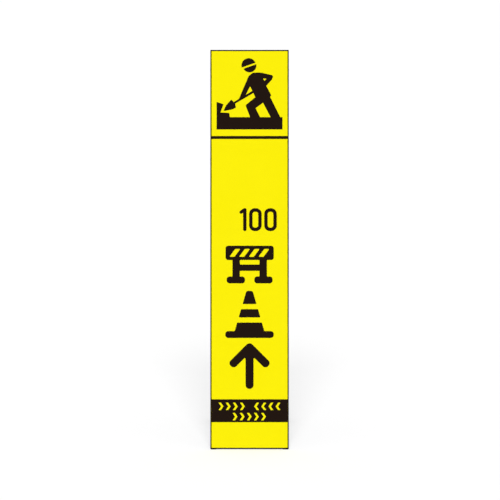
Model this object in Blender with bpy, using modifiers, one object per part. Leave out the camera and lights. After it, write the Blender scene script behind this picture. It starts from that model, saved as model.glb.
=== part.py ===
"""Slim self-standing road works sign, 275 x 1400 mm.

A thin steel face plate with folded edges carries retroreflective sheeting, black film figures
and a black edge seal. It is riveted to a ladder frame of square tube. A prop frame of lighter
tube swings on two clevis brackets behind the uprights, and its heels stop on the brackets when
the sign stands open.

Metres, +Z up. The face looks along -Y and leans back. The origin is on the ground, under the
middle of the open sign.
"""

import math

import bmesh
import bpy
from mathutils import Matrix, Vector

# Face: nominal outline, stance and build-up of layers
PANEL_WIDTH = 0.275
PANEL_HEIGHT = 1.400
LEAN_ANGLE = math.radians(12)
GROUND_CLEARANCE = 0.0006
PLATE_THICKNESS = 0.0005
PLATE_BEND_RADIUS = 0.0010
FLANGE_DEPTH = 0.014
BOTTOM_FLANGE_DEPTH = 0.006
CORNER_RELIEF = 0.0022
SHEETING_THICKNESS = 0.0004
FILM_THICKNESS = 0.0002
SEAL_FACE_WIDTH = 0.0042
SEAL_WRAP_DEPTH = 0.0030

# Named clearances
FILM_GAP = 0.0001
SEAT_GAP = 0.0003
FOOT_INSET = 0.0002

# Ladder frame
TUBE_SIDE = 0.019
TUBE_WALL = 0.0012
TUBE_CORNER_RADIUS = 0.0018
BOTTOM_RAIL_HEIGHT = 0.045
RAILS_BELOW_HINGE = 2

# Hinge and prop
HINGE_BELOW_TOP = 0.350
SPREAD_ANGLE = math.radians(25)
BOLT_HEAD_INSET = 0.0014
PROP_TUBE_SIDE = 0.014
PROP_TUBE_WALL = 0.0012
PROP_TUBE_CORNER_RADIUS = 0.0015
HEEL_LENGTH = 0.011
LOWER_CROSSBAR_HEIGHT = 0.120
UPPER_CROSSBAR_HEIGHT = 0.560
BRACKET_HEIGHT = 0.040
BRACKET_THICKNESS = 0.0020
BRACKET_BEND_RADIUS = 0.0025
EAR_END_RADIUS = 0.0085

# Hinge fasteners, M6
BOLT_RADIUS = 0.0030
BOLT_CLEARANCE = 0.0003
BOLT_HEAD_ACROSS_FLATS = 0.010
BOLT_HEAD_HEIGHT = 0.0040
BOLT_END_LENGTH = 0.0015
HEX_CHAMFER_ANGLE = math.radians(30)
HEX_CHAMFER_CIRCLE = 0.95
WASHER_RADIUS = 0.00625
WASHER_THICKNESS = 0.0016
NUT_HEX_HEIGHT = 0.0042
NUT_COLLAR_HEIGHT = 0.0020
NUT_COLLAR_WALL = 0.0009

# Blind rivets through the plate's flanges
RIVET_HEAD_RADIUS = 0.00325
RIVET_HEAD_HEIGHT = 0.0009
RIVET_SHANK_RADIUS = 0.0016
RIVET_BULB_RADIUS = 0.0022
RIVET_BULB_LENGTH = 0.0035
RIVET_PIT_RADIUS = 0.0010
RIVET_PIT_DEPTH = 0.0006
RIVET_HOLE_CLEARANCE = 0.0002
RIVETS_PER_SIDE = 5
SIDE_RIVET_END_MARGIN = 0.070
TOP_RIVET_SPACING = 0.120

# Plastic plugs and rubber feet
PLUG_HEAD_HEIGHT = 0.0025
PLUG_LENGTH = 0.016
PLUG_CLEARANCE = 0.0003
FOOT_HEAD_HEIGHT = 0.010
FOOT_PLUG_LENGTH = 0.024
BOOT_WALL = 0.0025
BOOT_HEIGHT = 0.036
BOOT_SOLE = 0.007
BOOT_TAPER = 0.0006
BOOT_RIM_HEIGHT = 0.0035
BOOT_RIB_HEIGHT = 0.0016
BOOT_RIB_PITCH = 0.0042
BOOT_RIBS = 3

# Black film figures on the face
PICTOGRAM_SIDE_MARGIN = 0.0220
PICTOGRAM_TOP_MARGIN = 0.0292
DIVIDER_BELOW_PICTOGRAM = 0.0283
DIVIDER_BAR_HEIGHT = 0.0104
BAND_BOTTOM_HEIGHT = 0.0940
BAND_HEIGHT = 0.0803

# The figure's own drawing width. Its points below are in millimetres at this width.
FIGURE_WIDTH = 231.0
HELMET_CENTRE = (112.6, 224.4)
HELMET_RADIUS = 25.4
HEAD_CENTRE = (115.4, 224.2)
HEAD_RADIUS = 24.0
BRIM_TILT = math.radians(19.5)
HELMET_EDGE_OFFSET = 1.3
FACE_EDGE_OFFSET = -3.6

# Sizes that follow from the ones above
SIN_LEAN, COS_LEAN = math.sin(LEAN_ANGLE), math.cos(LEAN_ANGLE)
FACE_BASE_HEIGHT = GROUND_CLEARANCE + BOTTOM_FLANGE_DEPTH * SIN_LEAN
EDGE_STACK = FILM_THICKNESS + FILM_GAP
PLATE_HALF_WIDTH = PANEL_WIDTH / 2 - EDGE_STACK
PLATE_BOTTOM = EDGE_STACK
PLATE_TOP = PANEL_HEIGHT - EDGE_STACK
SHEETING_FRONT = -(FILM_GAP + SHEETING_THICKNESS)
FILM_BACK = SHEETING_FRONT - FILM_GAP
FILM_FRONT = FILM_BACK - FILM_THICKNESS
SEAL_INNER_HALF_WIDTH = PANEL_WIDTH / 2 - SEAL_FACE_WIDTH
SEAL_BEND_RADIUS = PLATE_BEND_RADIUS + 2 * FILM_THICKNESS
RIVET_DEPTH = (SEAL_WRAP_DEPTH + FLANGE_DEPTH) / 2

FIGURE_SCALE = (PANEL_WIDTH - 2 * PICTOGRAM_SIDE_MARGIN) / FIGURE_WIDTH
FIGURE_HEIGHT = FIGURE_SCALE * (HELMET_CENTRE[1] + HELMET_RADIUS)
PICTOGRAM_BASE = PANEL_HEIGHT - PICTOGRAM_TOP_MARGIN - FIGURE_HEIGHT
DIVIDER_CENTRE = PICTOGRAM_BASE - DIVIDER_BELOW_PICTOGRAM

TUBE_FRONT = PLATE_THICKNESS + SEAT_GAP
TUBE_CENTRE_Y = TUBE_FRONT + TUBE_SIDE / 2
TUBE_BACK = TUBE_FRONT + TUBE_SIDE
UPRIGHT_X = PLATE_HALF_WIDTH - PLATE_THICKNESS - SEAT_GAP - TUBE_SIDE / 2
PLUG_TOP = PLATE_TOP - PLATE_THICKNESS - SEAT_GAP
UPRIGHT_TOP = PLUG_TOP - PLUG_HEAD_HEIGHT - SEAT_GAP
UPRIGHT_BOTTOM = FOOT_HEAD_HEIGHT + SEAT_GAP
RAIL_LENGTH = 2 * (UPRIGHT_X - TUBE_SIDE / 2 - SEAT_GAP)

HINGE_HEIGHT = PANEL_HEIGHT - HINGE_BELOW_TOP
CLEVIS_INNER_WIDTH = PROP_TUBE_SIDE + 2 * SEAT_GAP
CLEVIS_OUTER_WIDTH = CLEVIS_INNER_WIDTH + 2 * BRACKET_THICKNESS
WASHER_FACE = CLEVIS_OUTER_WIDTH / 2 + WASHER_THICKNESS + 2 * FILM_GAP
PROP_CENTRE_X = PANEL_WIDTH / 2 - BOLT_HEAD_INSET - BOLT_HEAD_HEIGHT - WASHER_FACE
NUT_COLLAR_RADIUS = BOLT_RADIUS + BOLT_CLEARANCE + NUT_COLLAR_WALL
BRACKET_FRONT = TUBE_BACK + SEAT_GAP
BRACKET_WEB_BACK = BRACKET_FRONT + BRACKET_THICKNESS
# The heel's front corner meets the bracket's web when the prop is fully open.
PIVOT_STANDOFF = (
    PROP_TUBE_SIDE / 2 * math.cos(SPREAD_ANGLE)
    + HEEL_LENGTH * math.sin(SPREAD_ANGLE)
    + SEAT_GAP
)
PIVOT_Y = BRACKET_WEB_BACK + PIVOT_STANDOFF
EAR_BACK = PIVOT_Y + EAR_END_RADIUS

PROP_ANGLE = SPREAD_ANGLE - LEAN_ANGLE
PIVOT_GROUND_HEIGHT = (
    FACE_BASE_HEIGHT + HINGE_HEIGHT * COS_LEAN - PIVOT_Y * SIN_LEAN
)
PROP_LENGTH = PIVOT_GROUND_HEIGHT / math.cos(PROP_ANGLE)
BOOT_SIDE = PROP_TUBE_SIDE + 2 * SEAT_GAP + 2 * BOOT_WALL
PROP_TUBE_BOTTOM = -(PROP_LENGTH - BOOT_SOLE - SEAT_GAP)
CROSSBAR_LENGTH = 2 * (PROP_CENTRE_X - PROP_TUBE_SIDE / 2 - SEAT_GAP)

FRONT_REACH = FILM_FRONT * COS_LEAN
BACK_REACH = (
    PIVOT_Y * COS_LEAN
    + HINGE_HEIGHT * SIN_LEAN
    + PROP_LENGTH * math.sin(PROP_ANGLE)
    + BOOT_SIDE / 2 / math.cos(PROP_ANGLE)
)
ORIGIN_Y = (FRONT_REACH + BACK_REACH) / 2

ROUND_SEGMENTS = 24
HOLE_SEGMENTS = 16
ARC_STEP = math.radians(22.5)
FINE_ARC_STEP = math.radians(7.5)
WELD_DISTANCE = 1e-6
SHARP_ANGLE = math.radians(35)
CUT_MARGIN = 0.010
SIDES = (("left", -1), ("right", 1))


# Scene, materials and meshes


def clear_scene():
    for obj in list(bpy.data.objects):
        bpy.data.objects.remove(obj)


def new_collection(name):
    collection = bpy.data.collections.new(name)
    bpy.context.scene.collection.children.link(collection)
    return collection


def new_material(name, color, roughness, metallic=0.0):
    material = bpy.data.materials.new(name)
    material.use_nodes = True
    shader = material.node_tree.nodes["Principled BSDF"]
    shader.inputs["Base Color"].default_value = (*color, 1.0)
    shader.inputs["Roughness"].default_value = roughness
    shader.inputs["Metallic"].default_value = metallic
    material.diffuse_color = (*color, 1.0)
    return material


def new_empty(name, location, tilt, parent=None):
    """An empty whose X axis stays level and whose other axes are tilted about it."""
    empty = bpy.data.objects.new(name, None)
    PART.objects.link(empty)
    empty.parent = parent
    empty.location = location
    empty.rotation_euler = (tilt, 0.0, 0.0)
    return empty


def add_object(name, mesh, parent, material=None, collection=None):
    obj = bpy.data.objects.new(name, mesh)
    (collection or PART).objects.link(obj)
    obj.parent = parent
    if material:
        mesh.materials.append(material)
        mesh.shade_smooth()
        mesh.set_sharp_from_angle(angle=SHARP_ANGLE)
    return obj


def mesh_from_bmesh(name, bm):
    bmesh.ops.recalc_face_normals(bm, faces=bm.faces)
    mesh = bpy.data.meshes.new(name)
    bm.to_mesh(mesh)
    bm.free()
    return mesh


def box_mesh(name, size, centre):
    bm = bmesh.new()
    bmesh.ops.create_cube(bm, size=1.0)
    bmesh.ops.scale(bm, vec=size, verts=bm.verts)
    bmesh.ops.translate(bm, vec=centre, verts=bm.verts)
    return mesh_from_bmesh(name, bm)


def cylinder_mesh(
    name, radius, length, centre, axis="Z", segments=ROUND_SEGMENTS, end_radius=None
):
    """A round bar along an axis, or a cone when its far end has a radius of its own."""
    bm = bmesh.new()
    bmesh.ops.create_cone(
        bm,
        cap_ends=True,
        segments=segments,
        radius1=radius,
        radius2=radius if end_radius is None else end_radius,
        depth=length,
    )
    if axis == "X":
        bmesh.ops.rotate(bm, matrix=Matrix.Rotation(math.pi / 2, 3, "Y"), verts=bm.verts)
    bmesh.ops.translate(bm, vec=centre, verts=bm.verts)
    return mesh_from_bmesh(name, bm)


# Flat outlines: corners with fillet radii, arcs and extruded plates


def arc(centre, radius, start, end, step=ARC_STEP):
    """Points on an arc from one angle to another, both ends included."""
    steps = max(1, math.ceil(abs(end - start) / step))
    angles = [start + (end - start) * i / steps for i in range(steps + 1)]
    return [
        (centre[0] + radius * math.cos(a), centre[1] + radius * math.sin(a))
        for a in angles
    ]


def filleted(corners, step=ARC_STEP):
    """A closed outline from (x, y, fillet radius) corners, each turned into an arc."""
    points = []
    for i, (x, y, radius) in enumerate(corners):
        here = Vector((x, y))
        if radius == 0:
            points.append((x, y))
            continue
        back = (Vector(corners[i - 1][:2]) - here).normalized()
        ahead = (Vector(corners[(i + 1) % len(corners)][:2]) - here).normalized()
        half_angle = back.angle(ahead) / 2
        centre = here + (back + ahead).normalized() * radius / math.sin(half_angle)
        first = here + back * radius / math.tan(half_angle) - centre
        last = here + ahead * radius / math.tan(half_angle) - centre
        start = math.atan2(first.y, first.x)
        turn = math.remainder(math.atan2(last.y, last.x) - start, 2 * math.pi)
        points += arc(centre, radius, start, start + turn, step)
    return points


def rectangle(width, height, radius=0.0, centre=(0.0, 0.0)):
    x, y = width / 2, height / 2
    corners = [(-x, -y), (x, -y), (x, y), (-x, y)]
    return filleted([(centre[0] + a, centre[1] + b, radius) for a, b in corners])


def circle(radius, segments=ROUND_SEGMENTS):
    turn = 2 * math.pi / segments
    return [
        (radius * math.cos(i * turn), radius * math.sin(i * turn))
        for i in range(segments)
    ]


def extruded(name, loops, thickness, matrix):
    """A mesh plate from closed loops in its own XY plane, holes included, thick about that plane."""
    data = bpy.data.curves.new(name, "CURVE")
    data.dimensions = "2D"
    data.fill_mode = "BOTH"
    data.extrude = thickness / 2
    for loop in loops:
        spline = data.splines.new("POLY")
        spline.points.add(len(loop) - 1)
        for point, (x, y) in zip(spline.points, loop):
            point.co = (x, y, 0.0, 1.0)
        spline.use_cyclic_u = True
    outline = bpy.data.objects.new(name, data)
    bpy.context.scene.collection.objects.link(outline)
    graph = bpy.context.evaluated_depsgraph_get()
    raw = bpy.data.meshes.new_from_object(outline.evaluated_get(graph))
    bpy.data.objects.remove(outline)
    bm = bmesh.new()
    bm.from_mesh(raw)
    bpy.data.meshes.remove(raw)
    bmesh.ops.remove_doubles(bm, verts=bm.verts, dist=WELD_DISTANCE)
    bmesh.ops.transform(bm, matrix=matrix, verts=bm.verts)
    return mesh_from_bmesh(name, bm)


def along_z(x, y, z):
    """Places an outline drawn in XY, extruded along Z."""
    return Matrix.Translation((x, y, z))


def along_x(x, y, z):
    """Places an outline drawn as depth and height, extruded along X."""
    upright = Matrix(((0, 0, 1, 0), (1, 0, 0, 0), (0, 1, 0, 0), (0, 0, 0, 1)))
    return Matrix.Translation((x, y, z)) @ upright


def along_y(x, y, z):
    """Places an outline drawn as seen from the front, extruded along Y."""
    return Matrix.Translation((x, y, z)) @ Matrix.Rotation(math.pi / 2, 4, "X")


def tube_loops(side, wall, radius):
    """Outer and inner outline of a square tube."""
    inner_radius = max(radius - wall, radius / 4)
    return [
        rectangle(side, side, radius),
        rectangle(side - 2 * wall, side - 2 * wall, inner_radius),
    ]


# Modifiers


def add_boolean(obj, cutter, operation="DIFFERENCE"):
    modifier = obj.modifiers.new(cutter.name, "BOOLEAN")
    modifier.operation = operation
    modifier.solver = "EXACT"
    if isinstance(cutter, bpy.types.Collection):
        modifier.operand_type = "COLLECTION"
        modifier.collection = cutter
    else:
        modifier.object = cutter
    return modifier


def add_bevel(obj, width, segments=2, angle=math.radians(40)):
    modifier = obj.modifiers.new("edge_radius", "BEVEL")
    modifier.width = width
    modifier.segments = segments
    modifier.limit_method = "ANGLE"
    modifier.angle_limit = angle
    return modifier


def new_cutter(name, mesh, parent=None, collection=None):
    cutter = add_object(name, mesh, parent, collection=collection or CUTTERS)
    cutter.hide_render = True
    cutter.display_type = "WIRE"
    return cutter


def cut_box(name, low, high, parent):
    low, high = Vector(low), Vector(high)
    return new_cutter(name, box_mesh(name, high - low, (low + high) / 2), parent)


# Face: plate, sheeting, seal and films


def open_tray(name, half_width, low, high, front, depth, bend_radius, thickness):
    """A folded sheet: a front with four flanges running back from it, open behind."""
    bm = bmesh.new()
    bmesh.ops.create_cube(bm, size=1.0)
    bmesh.ops.scale(bm, vec=(2 * half_width, depth, high - low), verts=bm.verts)
    middle = (0.0, front + depth / 2, (low + high) / 2)
    bmesh.ops.translate(bm, vec=middle, verts=bm.verts)
    bm.normal_update()
    back = [face for face in bm.faces if face.normal.y > 0.5]
    bmesh.ops.delete(bm, geom=back, context="FACES")
    mesh = bpy.data.meshes.new(name)
    bm.to_mesh(mesh)
    bm.free()
    tray = add_object(name, mesh, BOARD)
    bends = add_bevel(tray, bend_radius, segments=3)
    bends.name = "bends"
    sheet = tray.modifiers.new("sheet_thickness", "SOLIDIFY")
    sheet.thickness = thickness
    sheet.offset = -1
    sheet.use_even_offset = True
    return tray


def foot_notches():
    """Cutters that clear the lower corners of the folded sheets for the upright feet."""
    inner = UPRIGHT_X - TUBE_SIDE / 2 - SEAT_GAP
    outer = PANEL_WIDTH / 2 + CUT_MARGIN
    front = TUBE_FRONT - FILM_GAP
    top = 3 * PLATE_BEND_RADIUS
    notches = []
    for side, sign in SIDES:
        xs = sorted((sign * inner, sign * outer))
        low = (xs[0], front, -CUT_MARGIN)
        high = (xs[1], FLANGE_DEPTH + CUT_MARGIN, top)
        notches.append(cut_box(f"foot_notch_{side}", low, high, BOARD))
    return notches


def corner_reliefs():
    """Cutters that part the side flanges from the top flange behind the seal."""
    front = SEAL_WRAP_DEPTH + FILM_GAP
    reliefs = []
    for side, sign in SIDES:
        inner = PLATE_HALF_WIDTH - CORNER_RELIEF
        xs = sorted((sign * inner, sign * (PLATE_HALF_WIDTH + CUT_MARGIN)))
        low = (xs[0], front, PLATE_TOP - CORNER_RELIEF)
        high = (xs[1], FLANGE_DEPTH + CUT_MARGIN, PLATE_TOP + CUT_MARGIN)
        reliefs.append(cut_box(f"corner_relief_{side}", low, high, BOARD))
    return reliefs


def rivet_places():
    """(name, position on the plate's outer skin, outward direction) of each blind rivet."""
    places = []
    first = SIDE_RIVET_END_MARGIN
    pitch = (PANEL_HEIGHT - 2 * SIDE_RIVET_END_MARGIN) / (RIVETS_PER_SIDE - 1)
    for side, sign in SIDES:
        for i in range(RIVETS_PER_SIDE):
            position = Vector((sign * PLATE_HALF_WIDTH, RIVET_DEPTH, first + i * pitch))
            places.append((f"rivet_{side}_{i + 1}", position, Vector((sign, 0, 0))))
    for side, sign in SIDES:
        position = Vector((sign * TOP_RIVET_SPACING / 2, RIVET_DEPTH, PLATE_TOP))
        places.append((f"rivet_top_{side}", position, Vector((0, 0, 1))))
    return places


def turned_to(direction, position):
    """Turns +Z to a direction and moves it to a position."""
    turn = direction.to_track_quat("Z", "Y").to_matrix().to_4x4()
    return Matrix.Translation(position) @ turn


def rivet_holes():
    """One cutter for each rivet, long enough for the flange and the tube wall behind it."""
    holes = new_collection("rivet_holes")
    radius = RIVET_SHANK_RADIUS + RIVET_HOLE_CLEARANCE
    depth = PLATE_THICKNESS + SEAT_GAP + TUBE_WALL
    length = depth + 2 * TUBE_WALL
    for name, position, direction in rivet_places():
        mesh = cylinder_mesh(name, radius, length, (0, 0, -depth / 2), segments=HOLE_SEGMENTS)
        mesh.transform(turned_to(direction, position))
        new_cutter(f"{name}_hole", mesh, BOARD, holes)
    return holes


def make_face_plate(notches, holes):
    plate = open_tray(
        "face_plate",
        PLATE_HALF_WIDTH,
        PLATE_BOTTOM,
        PLATE_TOP,
        0.0,
        FLANGE_DEPTH,
        PLATE_BEND_RADIUS,
        PLATE_THICKNESS,
    )
    plate.data.materials.append(GALVANISED)
    trim_half_width = UPRIGHT_X - TUBE_SIDE / 2
    low = (-trim_half_width, BOTTOM_FLANGE_DEPTH, -CUT_MARGIN)
    high = (trim_half_width, FLANGE_DEPTH + CUT_MARGIN, 2 * PLATE_BEND_RADIUS)
    add_boolean(plate, cut_box("bottom_flange_trim", low, high, BOARD))
    for corner in notches + corner_reliefs():
        add_boolean(plate, corner)
    add_boolean(plate, holes)


def make_sheeting():
    half_width = PLATE_HALF_WIDTH - PLATE_BEND_RADIUS
    low = PLATE_BOTTOM + PLATE_BEND_RADIUS
    high = PLATE_TOP - PLATE_BEND_RADIUS
    size = (2 * half_width, SHEETING_THICKNESS, high - low)
    centre = (0.0, SHEETING_FRONT + SHEETING_THICKNESS / 2, (low + high) / 2)
    mesh = box_mesh("reflective_sheeting", size, centre)
    add_object("reflective_sheeting", mesh, BOARD, REFLECTIVE)


def make_edge_seal(notches):
    """A thin black strip over the sheeting's cut edge, wrapped round all four bends."""
    seal = open_tray(
        "edge_seal",
        PANEL_WIDTH / 2,
        0.0,
        PANEL_HEIGHT,
        FILM_FRONT,
        SEAL_WRAP_DEPTH - FILM_FRONT,
        SEAL_BEND_RADIUS,
        FILM_THICKNESS,
    )
    seal.data.materials.append(BLACK_FILM)
    low = (-SEAL_INNER_HALF_WIDTH, FILM_FRONT - CUT_MARGIN, SEAL_FACE_WIDTH)
    high = (
        SEAL_INNER_HALF_WIDTH,
        PLATE_THICKNESS + CUT_MARGIN,
        PANEL_HEIGHT - SEAL_FACE_WIDTH,
    )
    add_boolean(seal, cut_box("seal_window", low, high, BOARD))
    for notch in notches:
        add_boolean(seal, notch)


def make_film(name, loops):
    """Black film cut to outlines drawn on the face, x from its centre and y from its lower edge."""
    place = along_y(0.0, (FILM_FRONT + FILM_BACK) / 2, 0.0)
    mesh = extruded(name, loops, FILM_THICKNESS, place)
    return add_object(name, mesh, BOARD, BLACK_FILM)


def make_bars():
    """The divider under the pictogram and the black band near the foot of the face."""
    width = 2 * (SEAL_INNER_HALF_WIDTH - FILM_GAP)
    divider = rectangle(width, DIVIDER_BAR_HEIGHT, centre=(0.0, DIVIDER_CENTRE))
    make_film("divider_film", [divider])
    band_centre = (0.0, BAND_BOTTOM_HEIGHT + BAND_HEIGHT / 2)
    make_film("band_film", [rectangle(width, BAND_HEIGHT, centre=band_centre)])


def worker_outlines():
    """The digging worker with shovel and ground: outer corners, then the three gaps inside."""
    outer = [
        (0, 0, 0),
        (0, 96.4, 0),
        (24.2, 88.5, 2),
        (13.4, 59.6, 1),
        (44.3, 57.6, 1),
        (46.3, 43, 0),
        (117.4, 43, 0),
        (101.2, 84.8, 5),
        (135.8, 113, 0),
        (129, 127.8, 0),
        (65.3, 90.8, 0),
        (67.7, 76.4, 2),
        (55, 70.1, 14),
        (23.9, 64.4, 2),
        (33, 84.1, 14),
        (51.1, 104.8, 2),
        (60.6, 96, 0),
        (78.3, 107.3, 4),
        (112.6, 187.5, 12),
        (127, 198.8, 7),
        (152.2, 200, 60),
        (199.3, 189.4, 6),
        (194.1, 174.6, 8),
        (174.1, 153, 0),
        (183, 137.1, 20),
        (191.5, 119.2, 1.5),
        (187.5, 114.6, 0),
        (223.3, 43, 0),
        (231, 43, 0),
        (231, 0, 0),
    ]
    between_legs = [(163, 93.9, 1), (136.9, 74.8, 2), (152.5, 43, 0), (189.2, 43, 0)]
    under_elbow = [(162.4, 178.7, 0.6), (175, 177.9, 0.6), (168.1, 170.3, 0.6)]
    inside_arm = [(117.5, 151.6, 1), (125.4, 135.3, 0.6), (101.8, 120.5, 1)]
    loops = (outer, between_legs, under_elbow, inside_arm)
    return [filleted(loop, FINE_ARC_STEP) for loop in loops]


def head_segment(centre, radius, edge_offset, above):
    """The part of a disc on one side of a straight cut along the helmet's tilted brim."""
    half_span = math.acos(edge_offset / radius)
    top = BRIM_TILT + math.pi / 2
    start, end = top - half_span, top + half_span
    if not above:
        start, end = end, start + 2 * math.pi
    return arc(centre, radius, start, end, FINE_ARC_STEP)


def make_pictogram():
    def placed(loop):
        return [
            ((x - FIGURE_WIDTH / 2) * FIGURE_SCALE, PICTOGRAM_BASE + y * FIGURE_SCALE)
            for x, y in loop
        ]

    make_film("worker_film", [placed(loop) for loop in worker_outlines()])
    helmet = head_segment(HELMET_CENTRE, HELMET_RADIUS, HELMET_EDGE_OFFSET, above=True)
    head = head_segment(HEAD_CENTRE, HEAD_RADIUS, FACE_EDGE_OFFSET, above=False)
    make_film("helmet_film", [placed(helmet)])
    make_film("head_film", [placed(head)])


def make_rivets():
    """Blind rivets: a domed head with a pit outside, a shank through both sheets and a bulb."""
    grip = PLATE_THICKNESS + SEAT_GAP + TUBE_WALL
    head_bottom = FILM_GAP
    head_top = head_bottom + RIVET_HEAD_HEIGHT
    profile = [
        (0.0, head_top - RIVET_PIT_DEPTH),
        (RIVET_PIT_RADIUS, head_top - RIVET_PIT_DEPTH),
        (RIVET_PIT_RADIUS, head_top),
    ]
    dome = RIVET_HEAD_RADIUS - RIVET_PIT_RADIUS
    for angle in (math.radians(60), math.radians(30), 0.0):
        radius = RIVET_PIT_RADIUS + dome * math.cos(angle)
        profile.append((radius, head_bottom + RIVET_HEAD_HEIGHT * math.sin(angle)))
    profile += [
        (RIVET_SHANK_RADIUS, head_bottom),
        (RIVET_SHANK_RADIUS, -grip - SEAT_GAP),
        (RIVET_BULB_RADIUS, -grip - SEAT_GAP - RIVET_BULB_RADIUS + RIVET_SHANK_RADIUS),
        (RIVET_BULB_RADIUS, -grip - RIVET_BULB_LENGTH),
        (0.0, -grip - RIVET_BULB_LENGTH),
    ]
    for name, position, direction in rivet_places():
        rivet = turned(name, profile, ZINC, HOLE_SEGMENTS)
        rivet.matrix_local = turned_to(direction, position)


def turned(name, profile, material, segments=ROUND_SEGMENTS):
    """A solid of revolution about its own Z from an (r, z) profile running down the outside."""
    mesh = bpy.data.meshes.new(name)
    edges = [(i, i + 1) for i in range(len(profile) - 1)]
    mesh.from_pydata([(r, 0.0, z) for r, z in profile], edges, [])
    obj = add_object(name, mesh, BOARD)
    mesh.materials.append(material)
    screw = obj.modifiers.new("turn", "SCREW")
    screw.axis = "Z"
    screw.steps = segments
    screw.render_steps = segments
    screw.use_merge_vertices = True
    screw.merge_threshold = WELD_DISTANCE
    screw.use_smooth_shade = True
    return obj


# Ladder frame


def make_uprights(holes):
    loops = tube_loops(TUBE_SIDE, TUBE_WALL, TUBE_CORNER_RADIUS)
    length = UPRIGHT_TOP - UPRIGHT_BOTTOM
    middle = (UPRIGHT_TOP + UPRIGHT_BOTTOM) / 2
    for side, sign in SIDES:
        name = f"upright_{side}"
        place = along_z(sign * UPRIGHT_X, TUBE_CENTRE_Y, middle)
        upright = add_object(name, extruded(name, loops, length, place), BOARD, GALVANISED)
        add_boolean(upright, holes)


def rail_heights():
    """(name, height of the rail's centre) from the bottom of the ladder frame to its top."""
    step = (HINGE_HEIGHT - BOTTOM_RAIL_HEIGHT) / (RAILS_BELOW_HINGE + 1)
    heights = [("rail_bottom", BOTTOM_RAIL_HEIGHT)]
    for i in range(1, RAILS_BELOW_HINGE + 1):
        heights.append((f"rail_middle_{i}", BOTTOM_RAIL_HEIGHT + i * step))
    heights.append(("rail_hinge", HINGE_HEIGHT))
    heights.append(("rail_top", PLUG_TOP - TUBE_SIDE / 2))
    return heights


def make_rails(holes):
    loops = tube_loops(TUBE_SIDE, TUBE_WALL, TUBE_CORNER_RADIUS)
    for name, height in rail_heights():
        place = along_x(0.0, TUBE_CENTRE_Y, height)
        rail = add_object(name, extruded(name, loops, RAIL_LENGTH, place), BOARD, GALVANISED)
        if name == "rail_top":
            add_boolean(rail, holes)


def make_plugs():
    """Plastic plugs in the uprights' upper ends, under the plate's top flange."""
    bore = TUBE_SIDE - 2 * TUBE_WALL - 2 * PLUG_CLEARANCE
    for side, sign in SIDES:
        name = f"top_plug_{side}"
        x = sign * UPRIGHT_X
        head_middle = PLUG_TOP - PLUG_HEAD_HEIGHT / 2
        head = extruded(
            name,
            [rectangle(TUBE_SIDE, TUBE_SIDE, TUBE_CORNER_RADIUS)],
            PLUG_HEAD_HEIGHT,
            along_z(x, TUBE_CENTRE_Y, head_middle),
        )
        plug = add_object(name, head, BOARD, BLACK_PLASTIC)
        stem_middle = PLUG_TOP - PLUG_LENGTH / 2 - PLUG_HEAD_HEIGHT / 2
        stem = extruded(
            f"{name}_stem",
            [rectangle(bore, bore, TUBE_CORNER_RADIUS / 2)],
            PLUG_LENGTH,
            along_z(x, TUBE_CENTRE_Y, stem_middle),
        )
        add_boolean(plug, new_cutter(f"{name}_stem", stem, BOARD), "UNION")


def make_upright_feet(ground):
    """Rubber feet pushed into the uprights, their soles cut level with the ground."""
    bore = TUBE_SIDE - 2 * TUBE_WALL - 2 * PLUG_CLEARANCE
    head_side = TUBE_SIDE - 2 * FOOT_INSET
    for side, sign in SIDES:
        name = f"upright_foot_{side}"
        x = sign * UPRIGHT_X
        head = extruded(
            name,
            [rectangle(head_side, head_side, TUBE_CORNER_RADIUS)],
            FOOT_HEAD_HEIGHT + CUT_MARGIN,
            along_z(x, TUBE_CENTRE_Y, (FOOT_HEAD_HEIGHT - CUT_MARGIN) / 2),
        )
        foot = add_object(name, head, BOARD, RUBBER)
        stem = extruded(
            f"{name}_stem",
            [rectangle(bore, bore, TUBE_CORNER_RADIUS / 2)],
            FOOT_PLUG_LENGTH,
            along_z(x, TUBE_CENTRE_Y, FOOT_HEAD_HEIGHT / 2 + FOOT_PLUG_LENGTH / 2),
        )
        add_boolean(foot, new_cutter(f"{name}_stem", stem, BOARD), "UNION")
        add_boolean(foot, ground)


# Hinge


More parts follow.
